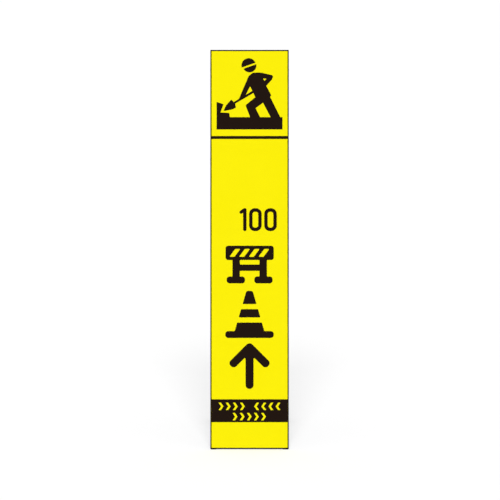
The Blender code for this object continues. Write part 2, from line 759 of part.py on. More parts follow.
def make_brackets():
    """Pressed U brackets: a web on the upright's back and two round-ended ears."""
    depth = EAR_BACK - BRACKET_FRONT
    inner_radius = BRACKET_BEND_RADIUS - BRACKET_THICKNESS
    half_out, half_in = CLEVIS_OUTER_WIDTH / 2, CLEVIS_INNER_WIDTH / 2
    channel = filleted(
        [
            (-half_out, 0, BRACKET_BEND_RADIUS),
            (half_out, 0, BRACKET_BEND_RADIUS),
            (half_out, depth, 0),
            (half_in, depth, 0),
            (half_in, BRACKET_THICKNESS, inner_radius),
            (-half_in, BRACKET_THICKNESS, inner_radius),
            (-half_in, depth, 0),
            (-half_out, depth, 0),
        ]
    )
    pivot_depth = PIVOT_Y - BRACKET_FRONT
    half_height = BRACKET_HEIGHT / 2
    shoulder = BRACKET_THICKNESS * 2
    profile = [(-CUT_MARGIN, -half_height), (shoulder, -half_height)]
    ear_end = arc((pivot_depth, 0.0), EAR_END_RADIUS, -math.pi / 3, math.pi / 3, FINE_ARC_STEP)
    profile += ear_end
    profile += [(shoulder, half_height), (-CUT_MARGIN, half_height)]
    for side, sign in SIDES:
        name = f"hinge_bracket_{side}"
        x = sign * PROP_CENTRE_X
        place = along_z(x, BRACKET_FRONT, HINGE_HEIGHT)
        mesh = extruded(name, [channel], BRACKET_HEIGHT, place)
        bracket = add_object(name, mesh, BOARD, ZINC)
        shape = extruded(
            f"{name}_profile",
            [profile],
            CLEVIS_OUTER_WIDTH + 2 * CUT_MARGIN,
            along_x(x, BRACKET_FRONT, HINGE_HEIGHT),
        )
        add_boolean(bracket, new_cutter(f"{name}_profile", shape, BOARD), "INTERSECT")
        bore = cylinder_mesh(
            f"{name}_bore",
            BOLT_RADIUS + BOLT_CLEARANCE,
            CLEVIS_OUTER_WIDTH + 2 * CUT_MARGIN,
            (x, PIVOT_Y, HINGE_HEIGHT),
            "X",
        )
        add_boolean(bracket, new_cutter(f"{name}_bore", bore, BOARD))


def hexagon(across_flats):
    radius = across_flats / math.sqrt(3)
    return circle(radius, 6)


def chamfer_hexagon(obj, height, middle, outward):
    """Rounds off the corners of a hexagon head's outer face, which looks to -X or +X."""
    slope = math.tan(HEX_CHAMFER_ANGLE)
    at_face = HEX_CHAMFER_CIRCLE * BOLT_HEAD_ACROSS_FLATS / 2
    beyond = at_face / 2 * slope
    near = at_face - beyond / slope
    far = at_face + (height + CUT_MARGIN) / slope
    low, high = (far, near) if outward > 0 else (near, far)
    x = middle[0] + outward * (beyond - CUT_MARGIN) / 2
    length = height + beyond + CUT_MARGIN
    name = f"{obj.name}_chamfer"
    cone = cylinder_mesh(name, low, length, (x, *middle[1:]), "X", end_radius=high)
    add_boolean(obj, new_cutter(name, cone, BOARD), "INTERSECT")


def make_hinge_fasteners():
    """On each hinge a bolt from outside, a washer under its head, and a washer and lock nut inside."""
    washer_centre = WASHER_FACE - FILM_GAP - WASHER_THICKNESS / 2
    nut_height = NUT_HEX_HEIGHT + NUT_COLLAR_HEIGHT
    bolt_end = WASHER_FACE + nut_height + BOLT_END_LENGTH
    bore_radius = BOLT_RADIUS + BOLT_CLEARANCE
    washer_loops = [circle(WASHER_RADIUS), circle(bore_radius)]
    for side, sign in SIDES:
        def at(distance):
            """A place on the hinge axis, a distance outboard of the clevis centre."""
            return (sign * (PROP_CENTRE_X + distance), PIVOT_Y, HINGE_HEIGHT)

        for where, distance in (("outer", washer_centre), ("inner", -washer_centre)):
            name = f"hinge_washer_{side}_{where}"
            mesh = extruded(name, washer_loops, WASHER_THICKNESS, along_x(*at(distance)))
            add_object(name, mesh, BOARD, ZINC)

        name = f"hinge_bolt_{side}"
        head_middle = at(WASHER_FACE + BOLT_HEAD_HEIGHT / 2)
        head = extruded(
            name, [hexagon(BOLT_HEAD_ACROSS_FLATS)], BOLT_HEAD_HEIGHT, along_x(*head_middle)
        )
        bolt = add_object(name, head, BOARD, ZINC)
        chamfer_hexagon(bolt, BOLT_HEAD_HEIGHT, head_middle, sign)
        shank_length = WASHER_FACE + BOLT_HEAD_HEIGHT / 2 + bolt_end
        shank_middle = at(shank_length / 2 - bolt_end)
        shank = cylinder_mesh(f"{name}_shank", BOLT_RADIUS, shank_length, shank_middle, "X")
        add_boolean(bolt, new_cutter(f"{name}_shank", shank, BOARD), "UNION")

        name = f"hinge_nut_{side}"
        hex_middle = at(-(WASHER_FACE + NUT_HEX_HEIGHT / 2))
        body = extruded(
            name, [hexagon(BOLT_HEAD_ACROSS_FLATS)], NUT_HEX_HEIGHT, along_x(*hex_middle)
        )
        nut = add_object(name, body, BOARD, ZINC)
        chamfer_hexagon(nut, NUT_HEX_HEIGHT, hex_middle, -sign)
        collar_middle = at(-(WASHER_FACE + nut_height / 2 + NUT_HEX_HEIGHT / 4))
        collar = cylinder_mesh(
            f"{name}_collar",
            NUT_COLLAR_RADIUS,
            nut_height - NUT_HEX_HEIGHT / 2,
            collar_middle,
            "X",
        )
        add_boolean(nut, new_cutter(f"{name}_collar", collar, BOARD), "UNION")
        bore = cylinder_mesh(
            f"{name}_bore", bore_radius, nut_height + 2 * CUT_MARGIN, hex_middle, "X"
        )
        add_boolean(nut, new_cutter(f"{name}_bore", bore, BOARD))


# Prop


def make_prop_legs():
    loops = tube_loops(PROP_TUBE_SIDE, PROP_TUBE_WALL, PROP_TUBE_CORNER_RADIUS)
    length = HEEL_LENGTH - PROP_TUBE_BOTTOM
    middle = (HEEL_LENGTH + PROP_TUBE_BOTTOM) / 2
    for side, sign in SIDES:
        name = f"prop_leg_{side}"
        x = sign * PROP_CENTRE_X
        leg = add_object(
            name, extruded(name, loops, length, along_z(x, 0.0, middle)), PROP, GALVANISED
        )
        bore = cylinder_mesh(
            f"{name}_bore",
            BOLT_RADIUS + BOLT_CLEARANCE,
            PROP_TUBE_SIDE + 2 * CUT_MARGIN,
            (x, 0.0, 0.0),
            "X",
        )
        add_boolean(leg, new_cutter(f"{name}_bore", bore, PROP))


def make_crossbars():
    loops = tube_loops(PROP_TUBE_SIDE, PROP_TUBE_WALL, PROP_TUBE_CORNER_RADIUS)
    for name, height in (
        ("prop_crossbar_lower", LOWER_CROSSBAR_HEIGHT),
        ("prop_crossbar_upper", UPPER_CROSSBAR_HEIGHT),
    ):
        place = along_x(0.0, 0.0, height - PROP_LENGTH)
        add_object(name, extruded(name, loops, CROSSBAR_LENGTH, place), PROP, GALVANISED)


def make_prop_boots(ground):
    """Rubber boots over the prop's lower ends: a sleeve between a rim and ribs, with a level sole."""
    bottom = -PROP_LENGTH - CUT_MARGIN
    top = -PROP_LENGTH + BOOT_HEIGHT
    sleeve_bottom = -PROP_LENGTH + BOOT_SOLE
    pocket_floor = PROP_TUBE_BOTTOM - SEAT_GAP
    pocket_side = PROP_TUBE_SIDE + 2 * SEAT_GAP
    radius = PROP_TUBE_CORNER_RADIUS + BOOT_WALL
    wide = rectangle(BOOT_SIDE, BOOT_SIDE, radius)
    narrow_side = BOOT_SIDE - 2 * BOOT_TAPER
    narrow = rectangle(narrow_side, narrow_side, radius - BOOT_TAPER)
    bands = [(bottom, sleeve_bottom), (top - BOOT_RIM_HEIGHT, top)]
    for i in range(1, BOOT_RIBS + 1):
        rib_bottom = sleeve_bottom + i * BOOT_RIB_PITCH - BOOT_RIB_HEIGHT
        bands.append((rib_bottom, rib_bottom + BOOT_RIB_HEIGHT))
    for side, sign in SIDES:
        name = f"prop_boot_{side}"
        x = sign * PROP_CENTRE_X
        place = along_z(x, 0.0, (top + bottom) / 2)
        sleeve = extruded(name, [narrow], top - bottom - 2 * SEAT_GAP, place)
        boot = add_object(name, sleeve, PROP, RUBBER)
        for i, (low, high) in enumerate(bands):
            band_name = f"{name}_band_{i}"
            mesh = extruded(band_name, [wide], high - low, along_z(x, 0.0, (low + high) / 2))
            add_boolean(boot, new_cutter(band_name, mesh, PROP), "UNION")
        pocket = extruded(
            f"{name}_pocket",
            [rectangle(pocket_side, pocket_side, PROP_TUBE_CORNER_RADIUS)],
            top + CUT_MARGIN - pocket_floor,
            along_z(x, 0.0, (top + CUT_MARGIN + pocket_floor) / 2),
        )
        add_boolean(boot, new_cutter(f"{name}_pocket", pocket, PROP))
        add_boolean(boot, ground)


def ground_cutter():
    """Everything below the ground, level and in world space."""
    size = (2 * PANEL_WIDTH, 4 * BACK_REACH, 4 * CUT_MARGIN)
    return new_cutter("ground", box_mesh("ground", size, (0, 0, -2 * CUT_MARGIN)))


clear_scene()
PART = new_collection("slim_road_sign")
CUTTERS = new_collection("cutters")
REFLECTIVE = new_material("yellow_reflective", (0.99, 0.87, 0.001), 0.35)
BLACK_FILM = new_material("black_film", (0.016, 0.009, 0.005), 0.40)
GALVANISED = new_material("galvanised_steel", (0.55, 0.57, 0.58), 0.45, 0.9)
ZINC = new_material("zinc_plated", (0.66, 0.66, 0.62), 0.30, 1.0)
BLACK_PLASTIC = new_material("black_plastic", (0.02, 0.02, 0.022), 0.45)
RUBBER = new_material("black_rubber", (0.012, 0.012, 0.012), 0.80)

BOARD = new_empty("board_axes", (0.0, -ORIGIN_Y, FACE_BASE_HEIGHT), -LEAN_ANGLE)
PROP = new_empty("prop_axis", (0.0, PIVOT_Y, HINGE_HEIGHT), SPREAD_ANGLE, BOARD)

corner_notches = foot_notches()
rivet_hole_cutters = rivet_holes()
below_ground = ground_cutter()
make_face_plate(corner_notches, rivet_hole_cutters)
make_sheeting()
make_edge_seal(corner_notches)
make_bars()
make_pictogram()
make_rivets()
make_uprights(rivet_hole_cutters)
make_rails(rivet_hole_cutters)
make_plugs()
make_upright_feet(below_ground)
make_brackets()
make_hinge_fasteners()
make_prop_legs()
make_crossbars()
make_prop_boots(below_ground)
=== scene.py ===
"""Looks of a slim self-standing road works sign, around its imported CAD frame.

Makes the finishes, the films in the words' places, the weld beads and the detailed fasteners,
boots, feet and plugs. Metres, +Z up, in the frame of the CAD model.
"""

import math
import random

import bmesh
import bpy
from mathutils import Matrix, Vector


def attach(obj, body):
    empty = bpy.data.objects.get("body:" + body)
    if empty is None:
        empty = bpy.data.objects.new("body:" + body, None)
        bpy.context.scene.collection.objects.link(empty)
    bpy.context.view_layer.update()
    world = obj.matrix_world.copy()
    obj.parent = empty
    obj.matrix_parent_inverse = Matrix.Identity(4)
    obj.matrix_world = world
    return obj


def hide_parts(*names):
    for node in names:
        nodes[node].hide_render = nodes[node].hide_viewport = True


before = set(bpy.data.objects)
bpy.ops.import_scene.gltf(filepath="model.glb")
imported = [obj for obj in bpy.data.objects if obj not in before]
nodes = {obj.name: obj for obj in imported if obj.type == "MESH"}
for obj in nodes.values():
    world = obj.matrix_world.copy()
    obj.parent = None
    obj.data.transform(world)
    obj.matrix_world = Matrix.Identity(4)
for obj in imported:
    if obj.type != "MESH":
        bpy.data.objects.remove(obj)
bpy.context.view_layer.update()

# Driving sizes of the CAD part, as far as the pieces here have to meet them

# Stance, face plate and the layers on it
LEAN = math.radians(12)
SPREAD = math.radians(25)
FACE_WIDTH = 0.275
FACE_HEIGHT = 1.400
GROUND_CLEARANCE = 0.0006
PLATE_THICKNESS = 0.0005
FLANGE_DEPTH = 0.014
BOTTOM_FLANGE_DEPTH = 0.006
SHEETING_THICKNESS = 0.0004
FILM_THICKNESS = 0.0002
SEAL_WRAP_DEPTH = 0.0030
FILM_GAP = 0.0001
SEAT_GAP = 0.0003

# Ladder frame and hinge brackets
TUBE_SIDE = 0.019
TUBE_WALL = 0.0012
TUBE_CORNER_RADIUS = 0.0018
BOTTOM_RAIL_HEIGHT = 0.045
HINGE_HEIGHT = 1.050
BRACKET_HALF_HEIGHT = 0.020
BRACKET_THICKNESS = 0.0020

# Prop frame and its boots
PROP_TUBE_SIDE = 0.014
PROP_CORNER_RADIUS = 0.0015
HEEL_LENGTH = 0.011
CROSSBAR_HEIGHTS = {"lower": 0.120, "upper": 0.560}
BOOT_WALL = 0.0025
BOOT_HEIGHT = 0.036
BOOT_SOLE = 0.007

# Hinge fasteners, M6
BOLT_RADIUS = 0.0030
BORE_RADIUS = 0.0033
BOLT_HEAD_INSET = 0.0014
BOLT_HEAD_HEIGHT = 0.0040
BOLT_END_LENGTH = 0.0015
HEX_ACROSS_FLATS = 0.010
WASHER_RADIUS = 0.00625
WASHER_THICKNESS = 0.0016
NUT_HEX_HEIGHT = 0.0042
NUT_HEIGHT = 0.0062

SIDES = (("left", -1), ("right", 1))

# Sizes that follow from them

EDGE_STACK = FILM_THICKNESS + FILM_GAP
PLATE_HALF_WIDTH = FACE_WIDTH / 2 - EDGE_STACK
PLATE_TOP = FACE_HEIGHT - EDGE_STACK
FACE_BASE_HEIGHT = GROUND_CLEARANCE + BOTTOM_FLANGE_DEPTH * math.sin(LEAN)
FILM_BACK = -(SHEETING_THICKNESS + 2 * FILM_GAP)
FILM_FRONT = FILM_BACK - FILM_THICKNESS
RIVET_DEPTH = (SEAL_WRAP_DEPTH + FLANGE_DEPTH) / 2

TUBE_INSET = PLATE_THICKNESS + SEAT_GAP
TUBE_CENTRE_Y = TUBE_INSET + TUBE_SIDE / 2
UPRIGHT_X = PLATE_HALF_WIDTH - TUBE_INSET - TUBE_SIDE / 2
PLUG_TOP = PLATE_TOP - TUBE_INSET
RIVET_GRIP = TUBE_INSET + TUBE_WALL
RAIL_JOINT_X = UPRIGHT_X - (TUBE_SIDE + SEAT_GAP) / 2
RAIL_PITCH = (HINGE_HEIGHT - BOTTOM_RAIL_HEIGHT) / 3
RAIL_HEIGHTS = {
    "bottom": BOTTOM_RAIL_HEIGHT,
    "middle_1": BOTTOM_RAIL_HEIGHT + RAIL_PITCH,
    "middle_2": BOTTOM_RAIL_HEIGHT + 2 * RAIL_PITCH,
    "hinge": HINGE_HEIGHT,
    "top": PLUG_TOP - TUBE_SIDE / 2,
}

BRACKET_FRONT = TUBE_INSET + TUBE_SIDE + SEAT_GAP
CLEVIS_HALF_WIDTH = PROP_TUBE_SIDE / 2 + SEAT_GAP + BRACKET_THICKNESS
WASHER_FACE = CLEVIS_HALF_WIDTH + WASHER_THICKNESS + 2 * FILM_GAP
PROP_CENTRE_X = FACE_WIDTH / 2 - BOLT_HEAD_INSET - BOLT_HEAD_HEIGHT - WASHER_FACE
CROSSBAR_JOINT_X = PROP_CENTRE_X - (PROP_TUBE_SIDE + SEAT_GAP) / 2
# The heel's front corner meets the bracket's web when the prop is fully open.
HEEL_REACH = PROP_TUBE_SIDE / 2 * math.cos(SPREAD) + HEEL_LENGTH * math.sin(SPREAD)
PIVOT_Y = BRACKET_FRONT + BRACKET_THICKNESS + SEAT_GAP + HEEL_REACH
PROP_ANGLE = SPREAD - LEAN
PIVOT_ABOVE_GROUND = FACE_BASE_HEIGHT + HINGE_HEIGHT * math.cos(LEAN) - PIVOT_Y * math.sin(LEAN)
PROP_LENGTH = PIVOT_ABOVE_GROUND / math.cos(PROP_ANGLE)
BOOT_SIDE = PROP_TUBE_SIDE + 2 * (SEAT_GAP + BOOT_WALL)
BOOT_CORNER_RADIUS = PROP_CORNER_RADIUS + BOOT_WALL
FRONT_REACH = FILM_FRONT * math.cos(LEAN)
BACK_REACH = (
    PIVOT_Y * math.cos(LEAN)
    + HINGE_HEIGHT * math.sin(LEAN)
    + PROP_LENGTH * math.sin(PROP_ANGLE)
    + BOOT_SIDE / 2 / math.cos(PROP_ANGLE)
)
ORIGIN_Y = (FRONT_REACH + BACK_REACH) / 2

# The board's axes stand at the middle of the face's lower edge, the prop's at its hinge.
BOARD_PLACE = Matrix.Translation((0, -ORIGIN_Y, FACE_BASE_HEIGHT)) @ Matrix.Rotation(-LEAN, 4, "X")
PROP_PLACE = (
    BOARD_PLACE
    @ Matrix.Translation((0, PIVOT_Y, HINGE_HEIGHT))
    @ Matrix.Rotation(SPREAD, 4, "X")
)
PLACES = {"board": BOARD_PLACE, "prop": PROP_PLACE}


# Materials. Colours are linear red, green and blue.

SHEETING_YELLOW = (0.976, 0.868, 0.0006)
SHEETING_PALER = (0.986, 0.878, 0.0012)
SHEETING_SEAM = (0.900, 0.790, 0.0040)
PLATE_ZINC = (0.57, 0.585, 0.595)
TUBE_ZINC = (0.50, 0.515, 0.53)
ZINC_PAINT = (0.50, 0.51, 0.52)
SPLASHED_DIRT = (0.37, 0.345, 0.30)
WELD_GREY = (0.47, 0.475, 0.48)
WELD_HEAT_TINT = (0.37, 0.355, 0.335)
DUST = (0.105, 0.100, 0.092)

HONEYCOMB_CELL = 0.0036
PLATE_SPANGLE = 0.0085
TUBE_SPANGLE = 0.0048
ZINC_METALLIC = 0.75


class Surface:
    """A node-based material: its shader, and short ways to add nodes around it."""

    def __init__(self, name, metallic=0.0, specular=0.5, place=BOARD_PLACE):
        self.material = bpy.data.materials.new(name)
        self.material.use_nodes = True
        self.tree = self.material.node_tree
        self.shader = self.tree.nodes["Principled BSDF"]
        self.set("Metallic", metallic)
        self.set("Specular IOR Level", specular)
        self.world = self.add("TexCoord").outputs["Object"]
        mapping = self.add("Mapping")
        mapping.vector_type = "TEXTURE"
        mapping.inputs["Location"].default_value = place.to_translation()
        mapping.inputs["Rotation"].default_value = place.to_euler()
        self.put(self.world, mapping.inputs["Vector"])
        self.local = mapping.outputs["Vector"]

    def add(self, kind):
        return self.tree.nodes.new("ShaderNode" + kind)

    def set(self, socket, value):
        self.put(value, self.shader.inputs[socket])

    def put(self, value, socket):
        if isinstance(value, bpy.types.NodeSocket):
            self.tree.links.new(value, socket)
        elif socket.type == "RGBA" and len(value) == 3:
            socket.default_value = (*value, 1.0)
        else:
            socket.default_value = value

    def math(self, operation, a, b=None, clamp=False):
        node = self.add("Math")
        node.operation = operation
        node.use_clamp = clamp
        self.put(a, node.inputs[0])
        if b is not None:
            self.put(b, node.inputs[1])
        return node.outputs[0]

    def plus(self, a, b, clamp=False):
        return self.math("ADD", a, b, clamp)

    def minus(self, a, b):
        return self.math("SUBTRACT", a, b)

    def times(self, a, b):
        return self.math("MULTIPLY", a, b)

    def vector(self, operation, a, b=None, scale=None):
        node = self.add("VectorMath")
        node.operation = operation
        self.put(a, node.inputs[0])
        if b is not None:
            self.put(b, node.inputs[1])
        if scale is not None:
            self.put(scale, node.inputs["Scale"])
        return node.outputs["Value" if operation == "DOT_PRODUCT" else "Vector"]

    def axes(self, vector):
        node = self.add("SeparateXYZ")
        self.put(vector, node.inputs[0])
        return node.outputs

    def noise(self, size, detail=3.0, roughness=0.5, stretch=None):
        """Noise whose features are about size metres across, from 0 to 1."""
        node = self.add("TexNoise")
        node.inputs["Scale"].default_value = 1.0 / size
        node.inputs["Detail"].default_value = detail
        node.inputs["Roughness"].default_value = roughness
        source = self.vector("MULTIPLY", self.local, stretch) if stretch else self.local
        self.put(source, node.inputs["Vector"])
        return node.outputs["Fac"]

    def cells(self, size, point):
        """A pattern of random cells about size metres across."""
        node = self.add("TexVoronoi")
        node.inputs["Scale"].default_value = 1.0 / size
        self.put(point, node.inputs["Vector"])
        return node.outputs

    def ramp(self, value, low, high, to_low=0.0, to_high=1.0, smooth=True):
        node = self.add("MapRange")
        node.interpolation_type = "SMOOTHSTEP" if smooth else "LINEAR"
        self.put(value, node.inputs["Value"])
        limits = {"From Min": low, "From Max": high, "To Min": to_low, "To Max": to_high}
        for socket, number in limits.items():
            node.inputs[socket].default_value = number
        return node.outputs["Result"]

    def mix(self, factor, a, b):
        node = self.add("Mix")
        node.data_type = "RGBA"
        self.put(factor, node.inputs["Factor"])
        self.put(a, node.inputs["A"])
        self.put(b, node.inputs["B"])
        return node.outputs["Result"]

    def bump(self, height, distance, strength, edge=0.0):
        """Relief of a height socket in metres, over edges rounded to a radius."""
        node = self.add("Bump")
        node.inputs["Strength"].default_value = strength
        node.inputs["Distance"].default_value = distance
        self.put(height, node.inputs["Height"])
        if edge:
            bevel = self.add("Bevel")
            bevel.samples = 4
            bevel.inputs["Radius"].default_value = edge
            self.put(bevel.outputs["Normal"], node.inputs["Normal"])
        self.set("Normal", node.outputs["Normal"])


def hexagon_cells(surface, width):
    """Distance from the seams of a honeycomb with cells of a width: 0 on a seam, 0.5 in the middle."""
    x, _, s = surface.axes(surface.local)
    combine = surface.add("CombineXYZ")
    surface.put(surface.math("DIVIDE", x, width), combine.inputs[0])
    surface.put(surface.math("DIVIDE", s, width), combine.inputs[1])
    point = combine.outputs[0]
    root = math.sqrt(3)
    period = (1.0, root, 1.0)
    half = (0.5, root / 2, 0.0)
    # Whole periods added to each point, so that MODULO meets no negative
    far = (500, 500 * root, 0)

    def centred(shifted):
        wrapped = surface.vector("MODULO", surface.vector("ADD", shifted, far), period)
        return surface.vector("ABSOLUTE", surface.vector("SUBTRACT", wrapped, half))

    def reach(absolute):
        slanted = surface.vector("DOT_PRODUCT", absolute, half)
        return surface.math("MAXIMUM", slanted, surface.axes(absolute)[0])

    first = reach(centred(point))
    second = reach(centred(surface.vector("SUBTRACT", point, half)))
    return surface.minus(0.5, surface.math("MINIMUM", first, second))


def make_sheeting_material():
    """Retroreflective sheeting: a sealed honeycomb under a clear, slightly waxy top film."""
    surface = Surface("yellow_sheeting", specular=0.04)
    seam = surface.ramp(hexagon_cells(surface, HONEYCOMB_CELL), 0.035, 0.085, to_low=1.0, to_high=0.0)
    cloud = surface.noise(0.20, detail=2.0)
    face = surface.mix(surface.ramp(cloud, 0.3, 0.7), SHEETING_YELLOW, SHEETING_PALER)
    surface.set("Base Color", surface.mix(seam, face, SHEETING_SEAM))
    scuffs = surface.noise(0.004, detail=5.0, roughness=0.7, stretch=(1.0, 1.0, 0.06))
    wear = surface.times(surface.ramp(scuffs, 0.60, 0.85), 0.10)
    satin = surface.ramp(cloud, 0.2, 0.8, to_low=0.30, to_high=0.38)
    surface.set("Roughness", surface.plus(satin, wear))
    surface.bump(surface.times(seam, -1.0), distance=0.00005, strength=0.5)
    return surface.material


def make_film_material(name, color, dusty):
    """Cast vinyl film: satin, with a fine orange peel and faint handling marks."""
    surface = Surface(name, specular=0.045)
    marks = surface.noise(0.030, detail=6.0, roughness=0.65)
    dust = surface.times(surface.ramp(marks, 0.55, 0.85), 0.25)
    surface.set("Base Color", surface.mix(dust, color, dusty))
    surface.set("Roughness", surface.ramp(marks, 0.3, 0.8, to_low=0.34, to_high=0.50))
    surface.bump(surface.noise(0.0012, detail=2.0), distance=0.00002, strength=0.4, edge=0.0001)
    return surface.material


def zinc_joints(surface, joint_x, heights, half_width, half_height):
    """1 near the welded joints at +-joint_x and these heights, where zinc paint covers the weld."""
    x, _, s = surface.axes(surface.local)
    nearest = None
    for height in heights:
        gap = surface.math("ABSOLUTE", surface.minus(s, height))
        nearest = gap if nearest is None else surface.math("MINIMUM", nearest, gap)
    across = surface.math("ABSOLUTE", surface.minus(surface.math("ABSOLUTE", x), joint_x))
    reach = surface.math(
        "MAXIMUM",
        surface.math("DIVIDE", across, half_width),
        surface.math("DIVIDE", nearest, half_height),
    )
    ragged = surface.plus(reach, surface.times(surface.noise(0.006), 0.9))
    return surface.ramp(ragged, 1.20, 1.50, to_low=1.0, to_high=0.0)


def spangle_with_painted_shade(surface, size):
    """Zinc crystals from 0 to 1: each has a tone, a painted shade that brightens across it along its
    own slope, and faint growth lines.
    """
    warp = surface.times(surface.noise(size * 0.8), size * 0.9)
    offset = surface.vector("SCALE", (1.0, 1.0, 1.0), scale=warp)
    point = surface.vector("ADD", surface.local, offset)
    cell = surface.cells(size, point)
    direction = surface.vector("NORMALIZE", surface.vector("SUBTRACT", cell["Color"], (0.5, 0.5, 0.5)))
    from_middle = surface.vector("SUBTRACT", point, cell["Position"])
    across = surface.vector("DOT_PRODUCT", from_middle, direction)
    # Painted shade: the colour brightens across each zinc grain in a random direction, standing for the
    # tilt of its facet.
    painted_slope_shade = surface.times(across, 0.45 / size)
    lines = surface.times(surface.math("SINE", surface.times(across, 5200.0)), 0.05)
    chance = surface.axes(cell["Color"])[1]
    tone = surface.ramp(chance, 0.0, 1.0, to_low=0.22, to_high=0.78, smooth=False)
    return surface.plus(surface.plus(tone, painted_slope_shade), lines, clamp=True)


def make_galvanised(name, place, spangle, tint, joints=None):
    """Hot-dip zinc: spangle of a size with painted shade across each of its grains, soft clouding, matt
    zinc paint at the welds, dirt low down.
    """
    surface = Surface(name, metallic=ZINC_METALLIC, place=place)
    crystal_and_shade = spangle_with_painted_shade(surface, spangle)
    cloud = surface.noise(0.060, detail=4.0, roughness=0.6)
    fine = surface.noise(0.0016)
    dark, light, dull = (tuple(share * c for c in tint) for share in (0.84, 1.10, 0.94))
    # The spangle's colour holds a random tone per grain and a painted shade across each grain.
    color = surface.mix(crystal_and_shade, dark, light)
    color = surface.mix(surface.ramp(cloud, 0.35, 0.70, to_high=0.45), color, dull)
    roughness = surface.plus(
        surface.ramp(crystal_and_shade, 0.0, 1.0, to_low=0.32, to_high=0.50),
        surface.ramp(fine, 0.2, 0.8, to_low=-0.03, to_high=0.05),
    )
    height = surface.plus(surface.times(crystal_and_shade, 0.35), surface.times(fine, 0.65))
    if joints:
        paint = zinc_joints(surface, *joints)
        color = surface.mix(paint, color, ZINC_PAINT)
        roughness = surface.math("MAXIMUM", roughness, surface.times(paint, 0.72))
        surface.set("Metallic", surface.ramp(paint, 0.0, 1.0, to_low=ZINC_METALLIC, to_high=0.25))
        height = surface.plus(height, surface.times(paint, 1.5))
    low = surface.ramp(surface.axes(surface.world)[2], 0.02, 0.16, to_low=1.0, to_high=0.0)
    drops = surface.ramp(surface.noise(0.012, detail=5.0, roughness=0.7), 0.48, 0.72)
    splash = surface.times(low, drops)
    surface.set("Base Color", surface.mix(surface.times(splash, 0.32), color, SPLASHED_DIRT))
    surface.set("Roughness", surface.plus(roughness, surface.times(splash, 0.2), clamp=True))
    surface.bump(height, distance=0.00006, strength=0.6, edge=0.0004)
    return surface.material


def make_plated(name, color, tinted, roughness):
    """Zinc plating or bare rivet alloy: fine grain, with a faint tint in patches."""
    surface = Surface(name, metallic=0.9)
    patch = surface.noise(0.006)
    fine = surface.noise(0.0006)
    surface.set("Base Color", surface.mix(surface.ramp(patch, 0.4, 0.7), color, tinted))
    surface.set("Roughness", surface.ramp(fine, 0.2, 0.8, roughness - 0.06, roughness + 0.08))
    surface.bump(fine, distance=0.000012, strength=0.5, edge=0.0002)
    return surface.material


def make_weld_material():
    """Weld metal under brushed-on zinc paint, with a faint heat tint."""
    surface = Surface("weld_metal", metallic=0.80)
    patch = surface.noise(0.005, roughness=0.6)
    surface.set("Base Color", surface.mix(surface.ramp(patch, 0.35, 0.70), WELD_GREY, WELD_HEAT_TINT))
    surface.set("Roughness", surface.ramp(patch, 0.3, 0.7, to_low=0.36, to_high=0.52))
    surface.bump(surface.noise(0.0010, detail=2.0), distance=0.00003, strength=0.5)
    return surface.material


def make_polymer(name, color, grain, relief, roughness, specular, dust):
    """Moulded plastic or rubber: fine grain, and dust that settles towards the ground."""
    surface = Surface(name, specular=specular)
    fine = surface.noise(grain, detail=2.0)
    cloud = surface.noise(0.007, detail=4.0, roughness=0.6)
    low = surface.ramp(surface.axes(surface.world)[2], 0.0, 0.022, to_low=1.0, to_high=0.20)
    settled = surface.times(low, surface.ramp(cloud, 0.30, 0.85))
    surface.set("Base Color", surface.mix(surface.times(settled, dust), color, DUST))
    surface.set("Roughness", surface.ramp(cloud, 0.3, 0.7, roughness - 0.05, roughness + 0.07))
    surface.bump(fine, distance=relief, strength=0.7, edge=0.0003)
    return surface.material


SHEETING = make_sheeting_material()
BLACK_FILM = make_film_material("black_film", (0.0112, 0.0046, 0.0022), (0.020, 0.012, 0.009))
SEAL_FILM = make_film_material("black_seal", (0.0115, 0.0056, 0.0034), (0.026, 0.018, 0.015))
YELLOW_FILM = make_film_material("yellow_film", (0.962, 0.862, 0.0020), (0.93, 0.83, 0.006))
PLATE_STEEL = make_galvanised("plate_steel", BOARD_PLACE, PLATE_SPANGLE, PLATE_ZINC)
FRAME_JOINTS = (RAIL_JOINT_X, RAIL_HEIGHTS.values(), 0.016, 0.020)
FRAME_STEEL = make_galvanised("frame_steel", BOARD_PLACE, TUBE_SPANGLE, TUBE_ZINC, FRAME_JOINTS)
PROP_JOINTS = (CROSSBAR_JOINT_X, [h - PROP_LENGTH for h in CROSSBAR_HEIGHTS.values()], 0.015, 0.017)
PROP_STEEL = make_galvanised("prop_steel", PROP_PLACE, TUBE_SPANGLE, TUBE_ZINC, PROP_JOINTS)
ZINC = make_plated("zinc_hardware", (0.60, 0.61, 0.615), (0.57, 0.565, 0.53), roughness=0.30)
ALLOY = make_plated("rivet_alloy", (0.70, 0.71, 0.72), (0.62, 0.63, 0.64), roughness=0.34)
WELD = make_weld_material()
PLASTIC = make_polymer(
    "black_plastic", (0.020, 0.020, 0.021),
    grain=0.0005, relief=0.00004, roughness=0.50, specular=0.40, dust=0.35,
)
RUBBER = make_polymer(
    "black_rubber", (0.013, 0.0125, 0.012),
    grain=0.0009, relief=0.00005, roughness=0.74, specular=0.35, dust=0.55,
)


# Mesh making

WELD_DISTANCE = 1e-7
ARC_STEP = math.radians(6)


def new_object(name, data):
    made = bpy.data.objects.new(name, data)
    bpy.context.scene.collection.objects.link(made)
    return made


def new_piece(name, mesh, body, material, replaces=(), sharp=35):
    """Puts a mesh drawn in its body's own axes in place, and says all that it is."""
    mesh.name = name
    mesh.transform(PLACES[body])
    mesh.materials.append(material)
    mesh.shade_smooth()
    mesh.set_sharp_from_angle(angle=math.radians(sharp))
    piece = new_object(name, mesh)
    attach(piece, body)
    if replaces:
        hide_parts(*replaces)


def mesh_from(bm):
    bmesh.ops.remove_doubles(bm, verts=bm.verts, dist=WELD_DISTANCE)
    bmesh.ops.recalc_face_normals(bm, faces=bm.faces)
    mesh = bpy.data.meshes.new("piece")
    bm.to_mesh(mesh)
    bm.free()
    return mesh


